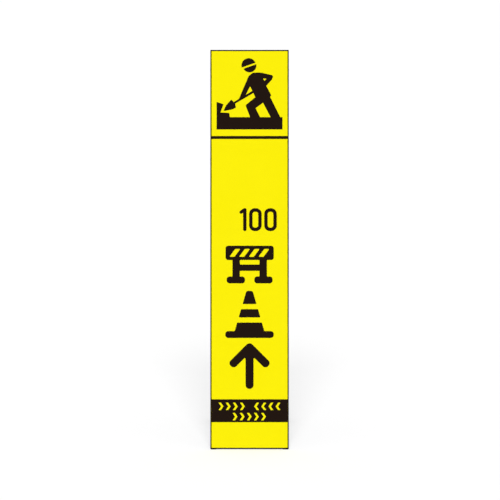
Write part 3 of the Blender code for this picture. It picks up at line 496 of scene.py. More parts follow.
def loft(bm, rings, closed=False):
    """Adds a closed skin through rings of points, with flat ends, or joined end to start."""
    rows = [[bm.verts.new(point) for point in ring] for ring in rings]
    count = len(rows[0])
    pairs = list(zip(rows, rows[1:]))
    if closed:
        pairs.append((rows[-1], rows[0]))
    for low, high in pairs:
        for i in range(count):
            j = (i + 1) % count
            bm.faces.new((low[i], low[j], high[j], high[i]))
    if not closed:
        bm.faces.new(rows[0][::-1])
        bm.faces.new(rows[-1])


def skin(rings, place=Matrix.Identity(4), closed=False):
    """A mesh lofted through rings that are moved to a place."""
    bm = bmesh.new()
    loft(bm, [[place @ point for point in ring] for ring in rings], closed)
    return mesh_from(bm)


def turned(profile, segments=72):
    """Rings about Z from (radius, z) pairs."""
    turn = 2 * math.pi / segments
    directions = [(math.cos(i * turn), math.sin(i * turn)) for i in range(segments)]
    return [[Vector((radius * c, radius * s, z)) for c, s in directions] for radius, z in profile]


def rounded(profile, radius, steps):
    """A profile with each corner between its ends cut back and rounded to a radius."""
    points = [profile[0]]
    for before, corner, after in zip(profile, profile[1:], profile[2:]):
        here, back, ahead = Vector(corner), Vector(before), Vector(after)
        reach = min(radius, (here - back).length / 2.01, (ahead - here).length / 2.01)
        start = here + (back - here).normalized() * reach
        end = here + (ahead - here).normalized() * reach
        for i in range(steps + 1):
            t = i / steps
            points.append(tuple((1 - t) ** 2 * start + 2 * t * (1 - t) * here + t * t * end))
    points.append(profile[-1])
    return points


def turned_ring(inner, outer, start, end, radius, steps=3):
    """Rings of a flat ring with rounded corners, from the middle of its bore round to there."""
    middle = (inner, (start + end) / 2)
    corners = [(inner, start), (outer, start), (outer, end), (inner, end)]
    return turned(rounded([middle, *corners, middle], radius, steps)[:-1])


def square_ring(side, radius, steps=6):
    """(u, v) points of a rounded square about the origin."""
    points = []
    for quarter, (way_u, way_v) in enumerate(((1, 1), (-1, 1), (-1, -1), (1, -1))):
        for i in range(steps + 1):
            angle = math.pi / 2 * (quarter + i / steps)
            u = way_u * (side / 2 - radius) + radius * math.cos(angle)
            v = way_v * (side / 2 - radius) + radius * math.sin(angle)
            points.append((u, v))
    return points


def filleted(corners):
    """A closed outline from (x, y, fillet radius) corners, each turned into an arc."""
    points = []
    for i, (x, y, radius) in enumerate(corners):
        here = Vector((x, y))
        back = (Vector(corners[i - 1][:2]) - here).normalized()
        ahead = (Vector(corners[(i + 1) % len(corners)][:2]) - here).normalized()
        half_angle = back.angle(ahead) / 2
        centre = here + (back + ahead).normalized() * radius / math.sin(half_angle)
        first = here + back * radius / math.tan(half_angle) - centre
        last = here + ahead * radius / math.tan(half_angle) - centre
        start = math.atan2(first.y, first.x)
        turn = math.remainder(math.atan2(last.y, last.x) - start, 2 * math.pi)
        steps = max(2, math.ceil(abs(turn) / ARC_STEP))
        for k in range(steps + 1):
            angle = start + turn * k / steps
            points.append((centre.x + radius * math.cos(angle), centre.y + radius * math.sin(angle)))
    return points


def film_mesh(loops, left, bottom, back, front):
    """Film cut to outlines in millimetres, holes included, whose origin is at a place on the face."""
    data = bpy.data.curves.new("film", "CURVE")
    data.dimensions = "2D"
    data.fill_mode = "BOTH"
    data.extrude = (back - front) / 2
    for loop in loops:
        spline = data.splines.new("POLY")
        spline.points.add(len(loop) - 1)
        for point, (x, y) in zip(spline.points, loop):
            point.co = (left + x / 1000, bottom + y / 1000, 0.0, 1.0)
        spline.use_cyclic_u = True
    outline = new_object("film", data)
    graph = bpy.context.evaluated_depsgraph_get()
    raw = bpy.data.meshes.new_from_object(outline.evaluated_get(graph))
    bpy.data.objects.remove(outline)
    bpy.data.curves.remove(data)
    bm = bmesh.new()
    bm.from_mesh(raw)
    bpy.data.meshes.remove(raw)
    # The fill leaves slivers between points in line, so its triangles are evened out.
    bmesh.ops.remove_doubles(bm, verts=bm.verts, dist=WELD_DISTANCE)
    caps = {face for face in bm.faces if len({vert.co.z for vert in face.verts}) == 1}
    inside = [edge for edge in bm.edges if caps.issuperset(edge.link_faces)]
    bmesh.ops.beautify_fill(bm, faces=list(caps), edges=inside)
    stand = Matrix.Translation((0, (back + front) / 2, 0)) @ Matrix.Rotation(math.pi / 2, 4, "X")
    bmesh.ops.transform(bm, matrix=stand, verts=bm.verts)
    return mesh_from(bm)


# Films in the words' places, drawn in millimetres: a plain number, three road works signs and chevrons

CHEVRON_WIDTH = 17.0
CHEVRON_HEIGHT = 26.0
CHEVRON_STROKE = 6.4
CHEVRON_PITCH = 25.0
CHEVRON_CORNER = 0.6
# The chevrons' yellow film lies on the band's black film.
CHEVRON_BACK = FILM_FRONT - 0.00002
CHEVRON_FRONT = FILM_FRONT - 0.00016


def digit_one():
    stem = [(15, 0, 5.9), (27, 0, 5.9), (27, 80, 5), (17, 80, 5)]
    flag = [(0, 67, 5), (6.6, 58.2, 5), (15, 64.6, 1)]
    return [filleted(stem + flag)]


def digit_zero(left):
    outer = [(left, 0, 20), (left + 44, 0, 20), (left + 44, 80, 20), (left, 80, 20)]
    inner = [(left + 12, 12, 9), (left + 32, 12, 9), (left + 32, 68, 9), (left + 12, 68, 9)]
    return [filleted(outer), filleted(inner)]


def barrier():
    """A works barrier: a striped board on two legs with feet."""
    outer = [
        (4, 0, 10), (68, 0, 10), (68, 24, 10), (50, 24, 2), (50, 44, 2), (119, 44, 2), (119, 24, 2),
        (101, 24, 10), (101, 0, 10), (165, 0, 10), (165, 24, 10), (145, 24, 2), (145, 82, 2),
        (169, 82, 9), (169, 132, 9), (0, 132, 9), (0, 82, 9), (24, 82, 2), (24, 24, 2), (4, 24, 10),
    ]
    window = [(50, 66, 3), (119, 66, 3), (119, 82, 3), (50, 82, 3)]
    loops = [filleted(outer), filleted(window)]
    for i in range(4):
        x = 13 + 34 * i
        loops.append(filleted([(x, 93, 2), (x + 18, 93, 2), (x + 39, 121, 2), (x + 21, 121, 2)]))
    return loops


def cone():
    """A traffic cone with two pale bands, on its base."""
    width, foot, top = 170, 24, 165
    foot_half_width, top_half_width = 52, 11

    def across(y, radius):
        """The cone's right and left corners at a height."""
        fall = foot_half_width - top_half_width
        half_width = foot_half_width - (y - foot) * fall / (top - foot)
        return [(width / 2 + half_width, y, radius), (width / 2 - half_width, y, radius)]

    right, left = across(foot, 2)
    base = [(0, 0, 11), (width, 0, 11), (width, foot, 11), right, *across(54, 2), left, (0, foot, 11)]
    middle = across(72, 2)[::-1] + across(101, 2)
    tip = across(119, 2)[::-1] + across(top, 9)
    return [filleted(base), filleted(middle), filleted(tip)]


def arrow():
    """A straight-ahead arrow."""
    corners = [
        (75.5, 166, 15), (0, 90.5, 13), (20, 70.5, 13), (61.5, 112, 3), (61.5, 0, 13.9),
        (89.5, 0, 13.9), (89.5, 112, 3), (131, 70.5, 13), (151, 90.5, 13),
    ]
    return [filleted(corners)]


def chevrons(count):
    """A row of chevrons that point to the right."""
    rise = CHEVRON_HEIGHT / 2
    slant = CHEVRON_STROKE * math.sqrt(rise**2 + (CHEVRON_WIDTH - CHEVRON_STROKE) ** 2) / rise
    loops = []
    for i in range(count):
        x = i * CHEVRON_PITCH
        tip = x + CHEVRON_WIDTH
        corners = [
            (x, 0), (x + slant, 0), (tip, rise),
            (x + slant, CHEVRON_HEIGHT), (x, CHEVRON_HEIGHT), (tip - slant, rise),
        ]
        loops.append(filleted([(*corner, CHEVRON_CORNER) for corner in corners]))
    return loops


def mirrored(loops, width):
    return [[(width - x, y) for x, y in loop][::-1] for loop in loops]


def make_signs():
    """The signs and chevrons, each from its outlines and its left and lower ends on the face."""
    signs = (
        ("sign_number", digit_one() + digit_zero(36) + digit_zero(89), -0.0375, 0.7645),
        ("sign_barrier", barrier(), -0.0841, 0.5810),
        ("sign_cone", cone(), -0.0850, 0.3895),
        ("sign_arrow", arrow(), -0.0755, 0.2107),
    )
    for name, loops, left, bottom in signs:
        mesh = film_mesh(loops, left, bottom, FILM_BACK, FILM_FRONT)
        new_piece(name, mesh, "board", BLACK_FILM)
    span = 3 * CHEVRON_PITCH + CHEVRON_WIDTH
    edge = 0.1085
    rows = (
        ("band_chevrons_left", chevrons(4), -edge, 0.1365),
        ("band_chevrons_right", mirrored(chevrons(4), span), edge - span / 1000, 0.1365),
        ("band_chevrons_lower", chevrons(5), -0.0595, 0.1005),
    )
    for name, loops, left, bottom in rows:
        mesh = film_mesh(loops, left, bottom, CHEVRON_BACK, CHEVRON_FRONT)
        new_piece(name, mesh, "board", YELLOW_FILM)


# Weld beads

BEAD_STEP = 0.0004
BEAD_SIDES = 10
BEAD_TAPER = 0.0018
RIPPLE_PITCH = 0.0020


def square_path(side, radius, start, end):
    """Points and outward normals on a rounded square. Length 0 is the middle of its +u side."""
    flat = side - 2 * radius
    quarter = flat + radius * math.pi / 2
    steps = round((end - start) / BEAD_STEP)
    path = []
    for i in range(steps + 1):
        length = start + (end - start) * i / steps + flat / 2
        turn, along = divmod(length, quarter)
        if along < flat:
            point, normal = Vector((side / 2, along - flat / 2)), Vector((1, 0))
        else:
            angle = (along - flat) / radius
            normal = Vector((math.cos(angle), math.sin(angle)))
            point = Vector((flat / 2, flat / 2)) + radius * normal
        rotation = Matrix.Rotation(turn * math.pi / 2, 2)
        path.append((rotation @ point, rotation @ normal))
    return path


def at_joint(flat_path, x, centre_y, centre_z):
    """A path in the plane of a joint at x, from (u, v) pairs where u is depth and v is height."""
    return [
        (Vector((x, centre_y + p.x, centre_z + p.y)), Vector((0.0, n.x, n.y)))
        for p, n in flat_path
    ]


def straight_path(start, end, normal):
    """Points from start to end, all with one normal."""
    steps = round(math.dist(start, end) / BEAD_STEP)
    return [
        (Vector([a + (b - a) * i / steps for a, b in zip(start, end)]), normal)
        for i in range(steps + 1)
    ]


def bead(bm, path, sideways, half_width, height, seed, thinning=0.0, closed=False):
    """A rippled bead along (point, normal) pairs, thinner where a normal lies along Y."""
    dice = random.Random(seed)
    lengths = [0.0]
    for (before, _), (after, _) in zip(path, path[1:]):
        lengths.append(lengths[-1] + (after - before).length)
    wobble = [dice.uniform(-1, 1) for _ in range(len(path) // 3 + 3)]
    rings = []
    for i, (point, normal) in enumerate(path):
        phase = (lengths[i] / RIPPLE_PITCH) % 1.0
        scale = 0.86 + 0.17 * (1 - phase**2) + 0.025 * wobble[i // 3]
        if not closed:
            to_end = min(lengths[i], lengths[-1] - lengths[i])
            scale *= 0.35 + 0.65 * min(1.0, to_end / BEAD_TAPER) ** 0.5
        lift = (height - thinning * abs(normal.y)) * scale
        ring = []
        for k in range(BEAD_SIDES):
            angle = 2 * math.pi * k / BEAD_SIDES
            across = sideways * (half_width * scale * math.cos(angle))
            ring.append(point + across + normal * (lift * math.sin(angle)))
        rings.append(ring)
    if closed:
        rings.pop()
    loft(bm, rings, closed)


def make_frame_welds():
    """Beads where each rail's end meets an upright: under it, behind it and over it."""
    reach = TUBE_SIDE / 2 + TUBE_SIDE * 0.80
    for rail, rail_height in RAIL_HEIGHTS.items():
        end = TUBE_SIDE * 0.40 if rail == "top" else reach
        flat_path = square_path(TUBE_SIDE, TUBE_CORNER_RADIUS, -reach, end)
        for side, sign in SIDES:
            bm = bmesh.new()
            path = at_joint(flat_path, sign * RAIL_JOINT_X, TUBE_CENTRE_Y, rail_height)
            bead(bm, path, Vector((1, 0, 0)), 0.0026, 0.0024, f"{rail}{side}", thinning=0.0014)
            name = f"weld_rail_{rail}_{side}"
            new_piece(name, mesh_from(bm), "board", WELD, sharp=80)


def make_prop_welds():
    """Beads round each crossbar's ends."""
    perimeter = 4 * (PROP_TUBE_SIDE - 2 * PROP_CORNER_RADIUS) + 2 * math.pi * PROP_CORNER_RADIUS
    flat_path = square_path(PROP_TUBE_SIDE, PROP_CORNER_RADIUS, 0.0, perimeter)
    for bar, bar_height in CROSSBAR_HEIGHTS.items():
        for side, sign in SIDES:
            bm = bmesh.new()
            path = at_joint(flat_path, sign * CROSSBAR_JOINT_X, 0.0, bar_height - PROP_LENGTH)
            across = Vector((1, 0, 0))
            bead(bm, path, across, 0.0023, 0.0021, f"{bar}{side}", thinning=0.0012, closed=True)
            name = f"weld_crossbar_{bar}_{side}"
            new_piece(name, mesh_from(bm), "prop", WELD, sharp=80)


def make_bracket_welds():
    """Beads over, under and outboard of each hinge bracket's web."""
    half_width, height = 0.0021, 0.0017
    end_inset, side_inset = 0.0020, 0.0030
    y = BRACKET_FRONT - 0.0001
    outer_edge = PROP_CENTRE_X + CLEVIS_HALF_WIDTH
    for side, sign in SIDES:
        bm = bmesh.new()
        inner = sign * (UPRIGHT_X - TUBE_SIDE / 2 + end_inset)
        outer = sign * (outer_edge - end_inset)
        for way in (1, -1):
            z = HINGE_HEIGHT + way * (BRACKET_HALF_HEIGHT + 0.0002)
            normal = Vector((0, 0.75, way * 0.66))
            path = straight_path((inner, y, z), (outer, y, z), normal)
            across = Vector((0, -normal.z, normal.y))
            bead(bm, path, across, half_width, height, f"bracket{side}{way}")
        x = sign * (outer_edge - 0.0003)
        half_length = BRACKET_HALF_HEIGHT - side_inset
        low, high = HINGE_HEIGHT - half_length, HINGE_HEIGHT + half_length
        normal = Vector((sign * 0.60, 0.80, 0))
        path = straight_path((x, y, low), (x, y, high), normal)
        across = Vector((normal.y, -normal.x, 0))
        bead(bm, path, across, half_width, height, f"bracket{side}side")
        new_piece(f"weld_bracket_{side}", mesh_from(bm), "board", WELD, sharp=80)


# Fasteners

# Radii to which the hexagons' corners are turned off at their faces
HEX_FACE_RADIUS = 0.475 * HEX_ACROSS_FLATS
HEAD_BACK_RADIUS = 0.52 * HEX_ACROSS_FLATS
NUT_BACK_RADIUS = 0.49 * HEX_ACROSS_FLATS
CHAMFER_SLOPE = math.tan(math.radians(30))
BOSS_HEIGHT = 0.0004
THREAD_PITCH = 0.0010
THREAD_DEPTH = 0.00048
LEAD_IN = 0.0006
RIVETS_PER_SIDE = 5
SIDE_RIVET_END_MARGIN = 0.070
TOP_RIVET_X = 0.060
RIVET_SHANK_RADIUS = 0.0016
RIVET_PIT_RADIUS = 0.0010


def hexagon_rings(low, high, low_radius, high_radius, segments=72):
    """Rings of a hexagon from one face to the other, its corners turned off to a radius at each."""
    rings = [[], [], [], []]
    for i in range(segments):
        angle = 2 * math.pi * i / segments
        radius = HEX_ACROSS_FLATS / 2 / math.cos((angle + math.pi / 6) % (math.pi / 3) - math.pi / 6)
        direction = Vector((math.cos(angle), math.sin(angle), 0))
        levels = (
            (min(radius, low_radius), low),
            (radius, low + max(0.0, radius - low_radius) * CHAMFER_SLOPE),
            (radius, high - max(0.0, radius - high_radius) * CHAMFER_SLOPE),
            (min(radius, high_radius), high),
        )
        for ring, (reach, z) in zip(rings, levels):
            ring.append(direction * reach + Vector((0, 0, z)))
    return rings


def thread_rings(start, end, crest, segments=72):
    """Rings of a right-hand thread between two heights, run out at both ends."""
    rings = []
    steps = round((end - start) / (THREAD_PITCH / 5))
    for k in range(steps + 1):
        z = start + (end - start) * k / steps
        fade = min(1.0, (z - start) / THREAD_PITCH, (end - z) / (THREAD_PITCH / 2))
        ring = []
        for i in range(segments):
            phase = (z / THREAD_PITCH - i / segments) % 1.0
            radius = crest - THREAD_DEPTH * (1 - abs(2 * phase - 1)) * fade
            angle = 2 * math.pi * i / segments
            ring.append(Vector((radius * math.cos(angle), radius * math.sin(angle), z)))
        rings.append(ring)
    return rings


def make_bolt(side, place):
    """A hexagon bolt: tip, thread, shank, the boss under its head, and its dished head."""
    across = HEX_ACROSS_FLATS
    tip = -(WASHER_FACE + NUT_HEIGHT + BOLT_END_LENGTH)
    thread_end = -(WASHER_FACE - WASHER_THICKNESS - LEAD_IN)
    top = WASHER_FACE + BOLT_HEAD_HEIGHT
    rings = turned([(BOLT_RADIUS - 0.0009, tip), (BOLT_RADIUS - 0.00045, tip + LEAD_IN / 2)])
    rings += thread_rings(tip + LEAD_IN, thread_end, BOLT_RADIUS - 0.00002)
    rings += turned([(BOLT_RADIUS, WASHER_FACE - 0.0003), (BOLT_RADIUS + 0.0002, WASHER_FACE)])
    rings += turned([(0.455 * across, WASHER_FACE), (0.46 * across, WASHER_FACE + BOSS_HEIGHT)])
    rings += hexagon_rings(WASHER_FACE + BOSS_HEIGHT, top, HEAD_BACK_RADIUS, HEX_FACE_RADIUS)
    rings += turned([(0.30 * across, top), (0.28 * across, top - 0.00015)])
    mesh = skin(rings, place)
    new_piece(f"bolt_{side}", mesh, "board", ZINC, [f"hinge_bolt_{side}"])


def make_nut(side, place):
    """A lock nut: its hexagon, a collar turned over at the top, and the plastic insert in it."""
    place = place @ Matrix.Translation((0, 0, -WASHER_FACE))
    hex_top = -NUT_HEX_HEIGHT
    top = -NUT_HEIGHT
    collar = [
        (0.00470, hex_top - 0.0001), (0.00465, hex_top - 0.0010), (0.00440, hex_top - 0.0016),
        (0.00400, top), (0.00372, top + 0.00005), (0.00368, top + 0.0004),
        (0.00372, top + 0.0018), (BORE_RADIUS, top + 0.0019),
    ]
    rings = turned([(BORE_RADIUS, -0.0002), (BORE_RADIUS + 0.0004, 0.0)])
    rings += hexagon_rings(hex_top, 0.0, NUT_BACK_RADIUS, HEX_FACE_RADIUS)[::-1]
    rings += turned(collar)
    mesh = skin(rings, place, closed=True)
    new_piece(f"nut_{side}", mesh, "board", ZINC, [f"hinge_nut_{side}"])
    rings = turned_ring(0.00312, 0.00364, top + 0.00035, top + 0.0017, 0.0001, steps=2)
    mesh = skin(rings, place, closed=True)
    new_piece(f"nut_insert_{side}", mesh, "board", PLASTIC)


def make_washers(side, place):
    half = WASHER_THICKNESS / 2
    for where, way in (("outer", 1), ("inner", -1)):
        middle = way * (WASHER_FACE - FILM_GAP - half)
        rings = turned_ring(BORE_RADIUS, WASHER_RADIUS, middle + half, middle - half, 0.00025)
        mesh = skin(rings, place, closed=True)
        name = f"washer_{side}_{where}"
        new_piece(name, mesh, "board", ZINC, [f"hinge_{name}"])


def make_hinge_fasteners():
    """Bolt, nut and washers of each hinge, drawn on an axis that runs outboard along it."""
    for side, sign in SIDES:
        turn = Matrix.Rotation(sign * math.pi / 2, 4, "Y")
        place = Matrix.Translation((sign * PROP_CENTRE_X, PIVOT_Y, HINGE_HEIGHT)) @ turn
        make_bolt(side, place)
        make_nut(side, place)
        make_washers(side, place)


def rivet_profile():
    """A blind rivet: a smooth dome with the broken mandrel in its pit, and the bulb behind."""
    base = FILM_GAP
    crown = base + 0.0009
    profile = [
        (0.0, crown - 0.00045), (0.00078, crown - 0.00045), (0.00082, crown - 0.0006),
        (0.00096, crown - 0.0006), (RIVET_PIT_RADIUS, crown - 0.00006),
    ]
    for i in range(9):
        angle = math.radians(80 - 10 * i)
        radius = RIVET_PIT_RADIUS + 0.00225 * math.cos(angle)
        profile.append((radius, base + 0.00015 + 0.00074 * math.sin(angle)))
    back = -RIVET_GRIP
    return profile + [
        (0.00325, base + 0.00003), (0.00318, base), (RIVET_SHANK_RADIUS, base),
        (RIVET_SHANK_RADIUS, back - SEAT_GAP), (0.0020, back - 0.0005), (0.0022, back - 0.0010),
        (0.0022, back - 0.0026), (0.0019, back - 0.0033), (0.0012, back - 0.0035), (0.0, back - 0.0035),
    ]


def make_rivets():
    """Blind rivets along both sides of the plate and on its top flange."""
    rings = turned(rivet_profile(), segments=36)
    pitch = (FACE_HEIGHT - 2 * SIDE_RIVET_END_MARGIN) / (RIVETS_PER_SIDE - 1)
    places = []
    for side, sign in SIDES:
        for i in range(RIVETS_PER_SIDE):
            position = Vector((sign * PLATE_HALF_WIDTH, RIVET_DEPTH, SIDE_RIVET_END_MARGIN + pitch * i))
            places.append((f"rivet_{side}_{i + 1}", position, Vector((sign, 0, 0))))
        position = Vector((sign * TOP_RIVET_X, RIVET_DEPTH, PLATE_TOP))
        places.append((f"rivet_top_{side}", position, Vector((0, 0, 1))))
    for name, position, direction in places:
        turn = direction.to_track_quat("Z", "Y").to_matrix().to_4x4()
        mesh = skin(rings, Matrix.Translation(position) @ turn)
        new_piece(f"blind_{name}", mesh, "board", ALLOY, [name])


# Boots, feet and plugs

BOOT_GROOVE = 0.0012
BOOT_RIBS = 3
BOOT_RIB_PITCH = 0.0042
BOOT_RIM_HEIGHT = 0.0035
FOOT_HEAD_HEIGHT = 0.010
FOOT_GROOVES = 2
FOOT_GROOVE_PITCH = 0.0028
PLUG_HEAD_HEIGHT = 0.0025
PLUG_FINS = 4
PLUG_FIN_PITCH = 0.0032
STEM_SIDE = TUBE_SIDE - 2 * (TUBE_WALL + SEAT_GAP)
LEAST_CORNER_RADIUS = 0.0006


def square_at(centre, side, height, radius):
    """A rounded square about a centre's axis, at a height over it."""
    x, y, z = centre
    return [Vector((x + u, y + v, z + height)) for u, v in square_ring(side, radius)]


def stepped_rings(centre, side, corner_radius, steps):
    """Rings from (width, height) steps of a square, whose rounded corners keep their centres."""
    rings = []
    for width, height in steps:
        radius = max(LEAST_CORNER_RADIUS, corner_radius - (side - width) / 2)
        rings.append(square_at(centre, width, height, radius))
    return rings


def cut_level(rings, ground, rise):
    """Rings with the first one moved along Z to the ground, and the second to a rise above it."""
    levels = zip(rings, (0.0, rise))
    cut = [[Vector((p.x, p.y, ground(p.y) + level)) for p in ring] for ring, level in levels]
    return cut + rings[2:]


def make_boots():
    """Rubber boots: a sole, three ribs and a rim round a sleeve, drawn over the prop's ends."""
    def ground(y):
        return -(PIVOT_ABOVE_GROUND + y * math.sin(PROP_ANGLE)) / math.cos(PROP_ANGLE)

    wide, narrow = BOOT_SIDE, BOOT_SIDE - BOOT_GROOVE
    steps = [(narrow, 0.0), (wide, 0.0), (wide, BOOT_SOLE - 0.0006)]
    steps += [(wide - 0.0004, BOOT_SOLE - 0.0001), (narrow, BOOT_SOLE + 0.0003)]
    for i in range(1, BOOT_RIBS + 1):
        bottom = BOOT_SOLE + BOOT_RIB_PITCH * i - 0.0016
        steps += [
            (narrow, bottom - 0.0003), (wide - 0.0005, bottom), (wide, bottom + 0.0004),
            (wide, bottom + 0.0012), (wide - 0.0005, bottom + 0.0016), (narrow, bottom + 0.0019),
        ]
    rim = BOOT_HEIGHT - BOOT_RIM_HEIGHT
    steps += [
        (narrow, rim - 0.0004), (wide - 0.0005, rim), (wide, rim + 0.0005),
        (wide, BOOT_HEIGHT - 0.0007), (wide - 0.0004, BOOT_HEIGHT - 0.0002), (narrow, BOOT_HEIGHT),
    ]
    bore = PROP_TUBE_SIDE + 2 * SEAT_GAP
    mouth = ((bore + 0.0010, BOOT_HEIGHT), (bore + 0.0002, BOOT_HEIGHT - 0.0004), (bore, BOOT_SOLE))
    for side, sign in SIDES:
        centre = (sign * PROP_CENTRE_X, 0.0, -PROP_LENGTH)
        outside = stepped_rings(centre, BOOT_SIDE, BOOT_CORNER_RADIUS, steps)
        rings = cut_level(outside, ground, rise=0.0006)
        rings += [square_at(centre, width, height, PROP_CORNER_RADIUS) for width, height in mouth]
        new_piece(f"boot_{side}", skin(rings), "prop", RUBBER, [f"prop_boot_{side}"])


def make_feet():
    """Rubber feet under the uprights: a grooved head cut level with the ground, and a stem."""
    def ground(y):
        return (y * math.sin(LEAN) - FACE_BASE_HEIGHT) / math.cos(LEAN)

    wide = TUBE_SIDE - 0.0004
    groove = wide - 0.0010
    steps = [(groove, 0.0), (wide, 0.0)]
    for i in range(FOOT_GROOVES):
        low = 0.0040 + FOOT_GROOVE_PITCH * i
        steps += [(wide, low), (groove, low + 0.0004), (groove, low + 0.0012), (wide, low + 0.0016)]
    steps += [(wide, FOOT_HEAD_HEIGHT - 0.0004), (wide - 0.0008, FOOT_HEAD_HEIGHT)]
    steps += [(STEM_SIDE, FOOT_HEAD_HEIGHT), (STEM_SIDE, 0.0280), (STEM_SIDE - 0.0016, 0.0290)]
    for side, sign in SIDES:
        centre = (sign * UPRIGHT_X, TUBE_CENTRE_Y, 0.0)
        rings = stepped_rings(centre, TUBE_SIDE, TUBE_CORNER_RADIUS, steps)
        mesh = skin(cut_level(rings, ground, rise=0.0005))
        new_piece(f"foot_{side}", mesh, "board", RUBBER, [f"upright_foot_{side}"])


def make_plugs():
    """Plastic plugs: a head with eased edges and a finned stem inside the tube, from the top down."""
    head = PLUG_HEAD_HEIGHT
    root = STEM_SIDE - 0.0010
    steps = [(TUBE_SIDE - 0.0014, 0.0), (TUBE_SIDE - 0.0004, 0.0002), (TUBE_SIDE, 0.0007)]
    steps += [(TUBE_SIDE, head - 0.0002), (TUBE_SIDE - 0.0003, head), (root, head)]
    for i in range(PLUG_FINS):
        fin = head + 0.0020 + PLUG_FIN_PITCH * i
        steps += [(root, fin), (STEM_SIDE, fin + 0.0002)]
        steps += [(STEM_SIDE, fin + 0.0009), (root, fin + 0.0014)]
    steps += [(STEM_SIDE - 0.0030, head + 0.0155)]
    downward = [(width, -depth) for width, depth in steps]
    for side, sign in SIDES:
        centre = (sign * UPRIGHT_X, TUBE_CENTRE_Y, PLUG_TOP)
        mesh = skin(stepped_rings(centre, TUBE_SIDE, TUBE_CORNER_RADIUS, downward))
        new_piece(f"plug_{side}", mesh, "board", PLASTIC, [f"top_plug_{side}"])


# Finishes of the CAD nodes, by the starts of their names

FINISHES = (
    (SHEETING, ("reflective_sheeting",)),
    (BLACK_FILM, ("worker_film", "helmet_film", "head_film", "divider_film", "band_film")),
    (SEAL_FILM, ("edge_seal",)),
    (PLATE_STEEL, ("face_plate",)),
    (FRAME_STEEL, ("upright_left", "upright_right", "rail_")),
    (PROP_STEEL, ("prop_leg", "prop_crossbar")),
    (ZINC, ("hinge_",)),
    (ALLOY, ("rivet_",)),
    (PLASTIC, ("top_plug",)),
    (RUBBER, ("upright_foot", "prop_boot")),
)


def paint_frame():
    for material, starts in FINISHES:
        for name in nodes:
            if name.startswith(starts):
                materials = nodes[name].data.materials
                materials.clear()
                materials.append(material)


# Floor, light and camera

FLOOR_REACH = 40.0
FLOOR_ALBEDO = 0.70
FLOOR_GLOW = 0.34
SKY_LOW = 0.50
SKY_HIGH = 0.70
SUN_STRENGTH = 1.48
SUN_WIDTH = math.radians(18)
SUN_ELEVATION = math.radians(45)
FRAME_WIDTH = 1.754
FRAME_SHIFT = (0.0016, 0.0020)
CAMERA_DISTANCE = 4.0
CAMERA_REACH = 200.0


def emptied(owner):
    """Empties the node tree of a material or world. Returns ways to add nodes and links to it."""
    owner.use_nodes = True
    tree = owner.node_tree
    tree.nodes.clear()

    def add(kind):
        return tree.nodes.new("ShaderNode" + kind)

    return add, tree.links.new


def seen_directly(add, link):
    """1 for camera, glossy and transmission rays, else 0."""
    path = add("LightPath")
    highest = path.outputs["Is Camera Ray"]
    for name in ("Is Glossy Ray", "Is Transmission Ray"):
        node = add("Math")
        node.operation = "MAXIMUM"
        link(highest, node.inputs[0])
        link(path.outputs[name], node.inputs[1])
        highest = node.outputs[0]
    return highest


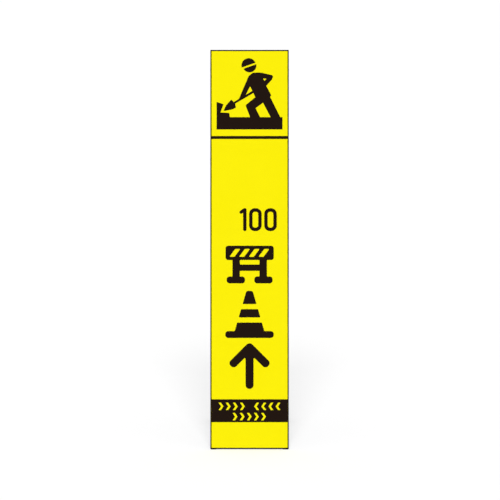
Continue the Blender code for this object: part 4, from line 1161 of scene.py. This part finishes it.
def make_floor():
    """A white floor that shows as white to the camera and still keeps the shadow."""
    mesh = bpy.data.meshes.new("floor")
    corners = [(u * FLOOR_REACH, v * FLOOR_REACH, 0) for u, v in ((-1, -1), (1, -1), (1, 1), (-1, 1))]
    mesh.from_pydata(corners, [], [(0, 1, 2, 3)])
    new_object("floor", mesh)
    material = bpy.data.materials.new("floor")
    add, link = emptied(material)
    diffuse = add("BsdfDiffuse")
    diffuse.inputs["Color"].default_value = (FLOOR_ALBEDO, FLOOR_ALBEDO, FLOOR_ALBEDO, 1)
    strength = add("Math")
    strength.operation = "MULTIPLY"
    strength.inputs[1].default_value = FLOOR_GLOW
    glow = add("Emission")
    both = add("AddShader")
    output = add("OutputMaterial")
    link(seen_directly(add, link), strength.inputs[0])
    link(strength.outputs[0], glow.inputs["Strength"])
    link(diffuse.outputs[0], both.inputs[0])
    link(glow.outputs[0], both.inputs[1])
    link(both.outputs[0], output.inputs["Surface"])
    mesh.materials.append(material)


def make_world():
    """White to the eye. As light it is an even sky, a little brighter overhead."""
    world = bpy.data.worlds.new("studio")
    bpy.context.scene.world = world
    add, link = emptied(world)
    white = add("Background")
    sky = add("Background")
    for background in (white, sky):
        background.inputs["Color"].default_value = (1, 1, 1, 1)
    coordinates = add("TexCoord")
    axes = add("SeparateXYZ")
    strength = add("MapRange")
    strength.inputs["To Min"].default_value = SKY_LOW
    strength.inputs["To Max"].default_value = SKY_HIGH
    mix = add("MixShader")
    output = add("OutputWorld")
    link(coordinates.outputs["Generated"], axes.inputs[0])
    link(axes.outputs[2], strength.inputs["Value"])
    link(strength.outputs["Result"], sky.inputs["Strength"])
    link(seen_directly(add, link), mix.inputs[0])
    link(sky.outputs[0], mix.inputs[1])
    link(white.outputs[0], mix.inputs[2])
    link(mix.outputs[0], output.inputs["Surface"])


def make_sun():
    """A soft key light from straight in front, so that the shadow falls behind the sign."""
    data = bpy.data.lights.new("key", "SUN")
    data.energy = SUN_STRENGTH
    data.angle = SUN_WIDTH
    sun = new_object("key", data)
    sun.rotation_euler = (math.radians(90) - SUN_ELEVATION, 0, 0)


def make_camera():
    """Square on to the leaning face, as the photograph is."""
    data = bpy.data.cameras.new("camera")
    data.type = "ORTHO"
    data.ortho_scale = FRAME_WIDTH
    data.clip_end = CAMERA_REACH
    camera = new_object("camera", data)
    right, down = FRAME_SHIFT
    centre = BOARD_PLACE @ Vector((right, 0, FACE_HEIGHT / 2 - down))
    away = BOARD_PLACE.to_3x3() @ Vector((0, -1, 0))
    camera.location = centre + away * CAMERA_DISTANCE
    camera.rotation_euler = (math.radians(90) - LEAN, 0, 0)
    bpy.context.scene.camera = camera


make_signs()
make_frame_welds()
make_prop_welds()
make_bracket_welds()
make_hinge_fasteners()
make_rivets()
make_boots()
make_feet()
make_plugs()
paint_frame()
make_floor()
make_world()
make_sun()
make_camera()

bpy.context.scene.view_settings.view_transform = "Standard"
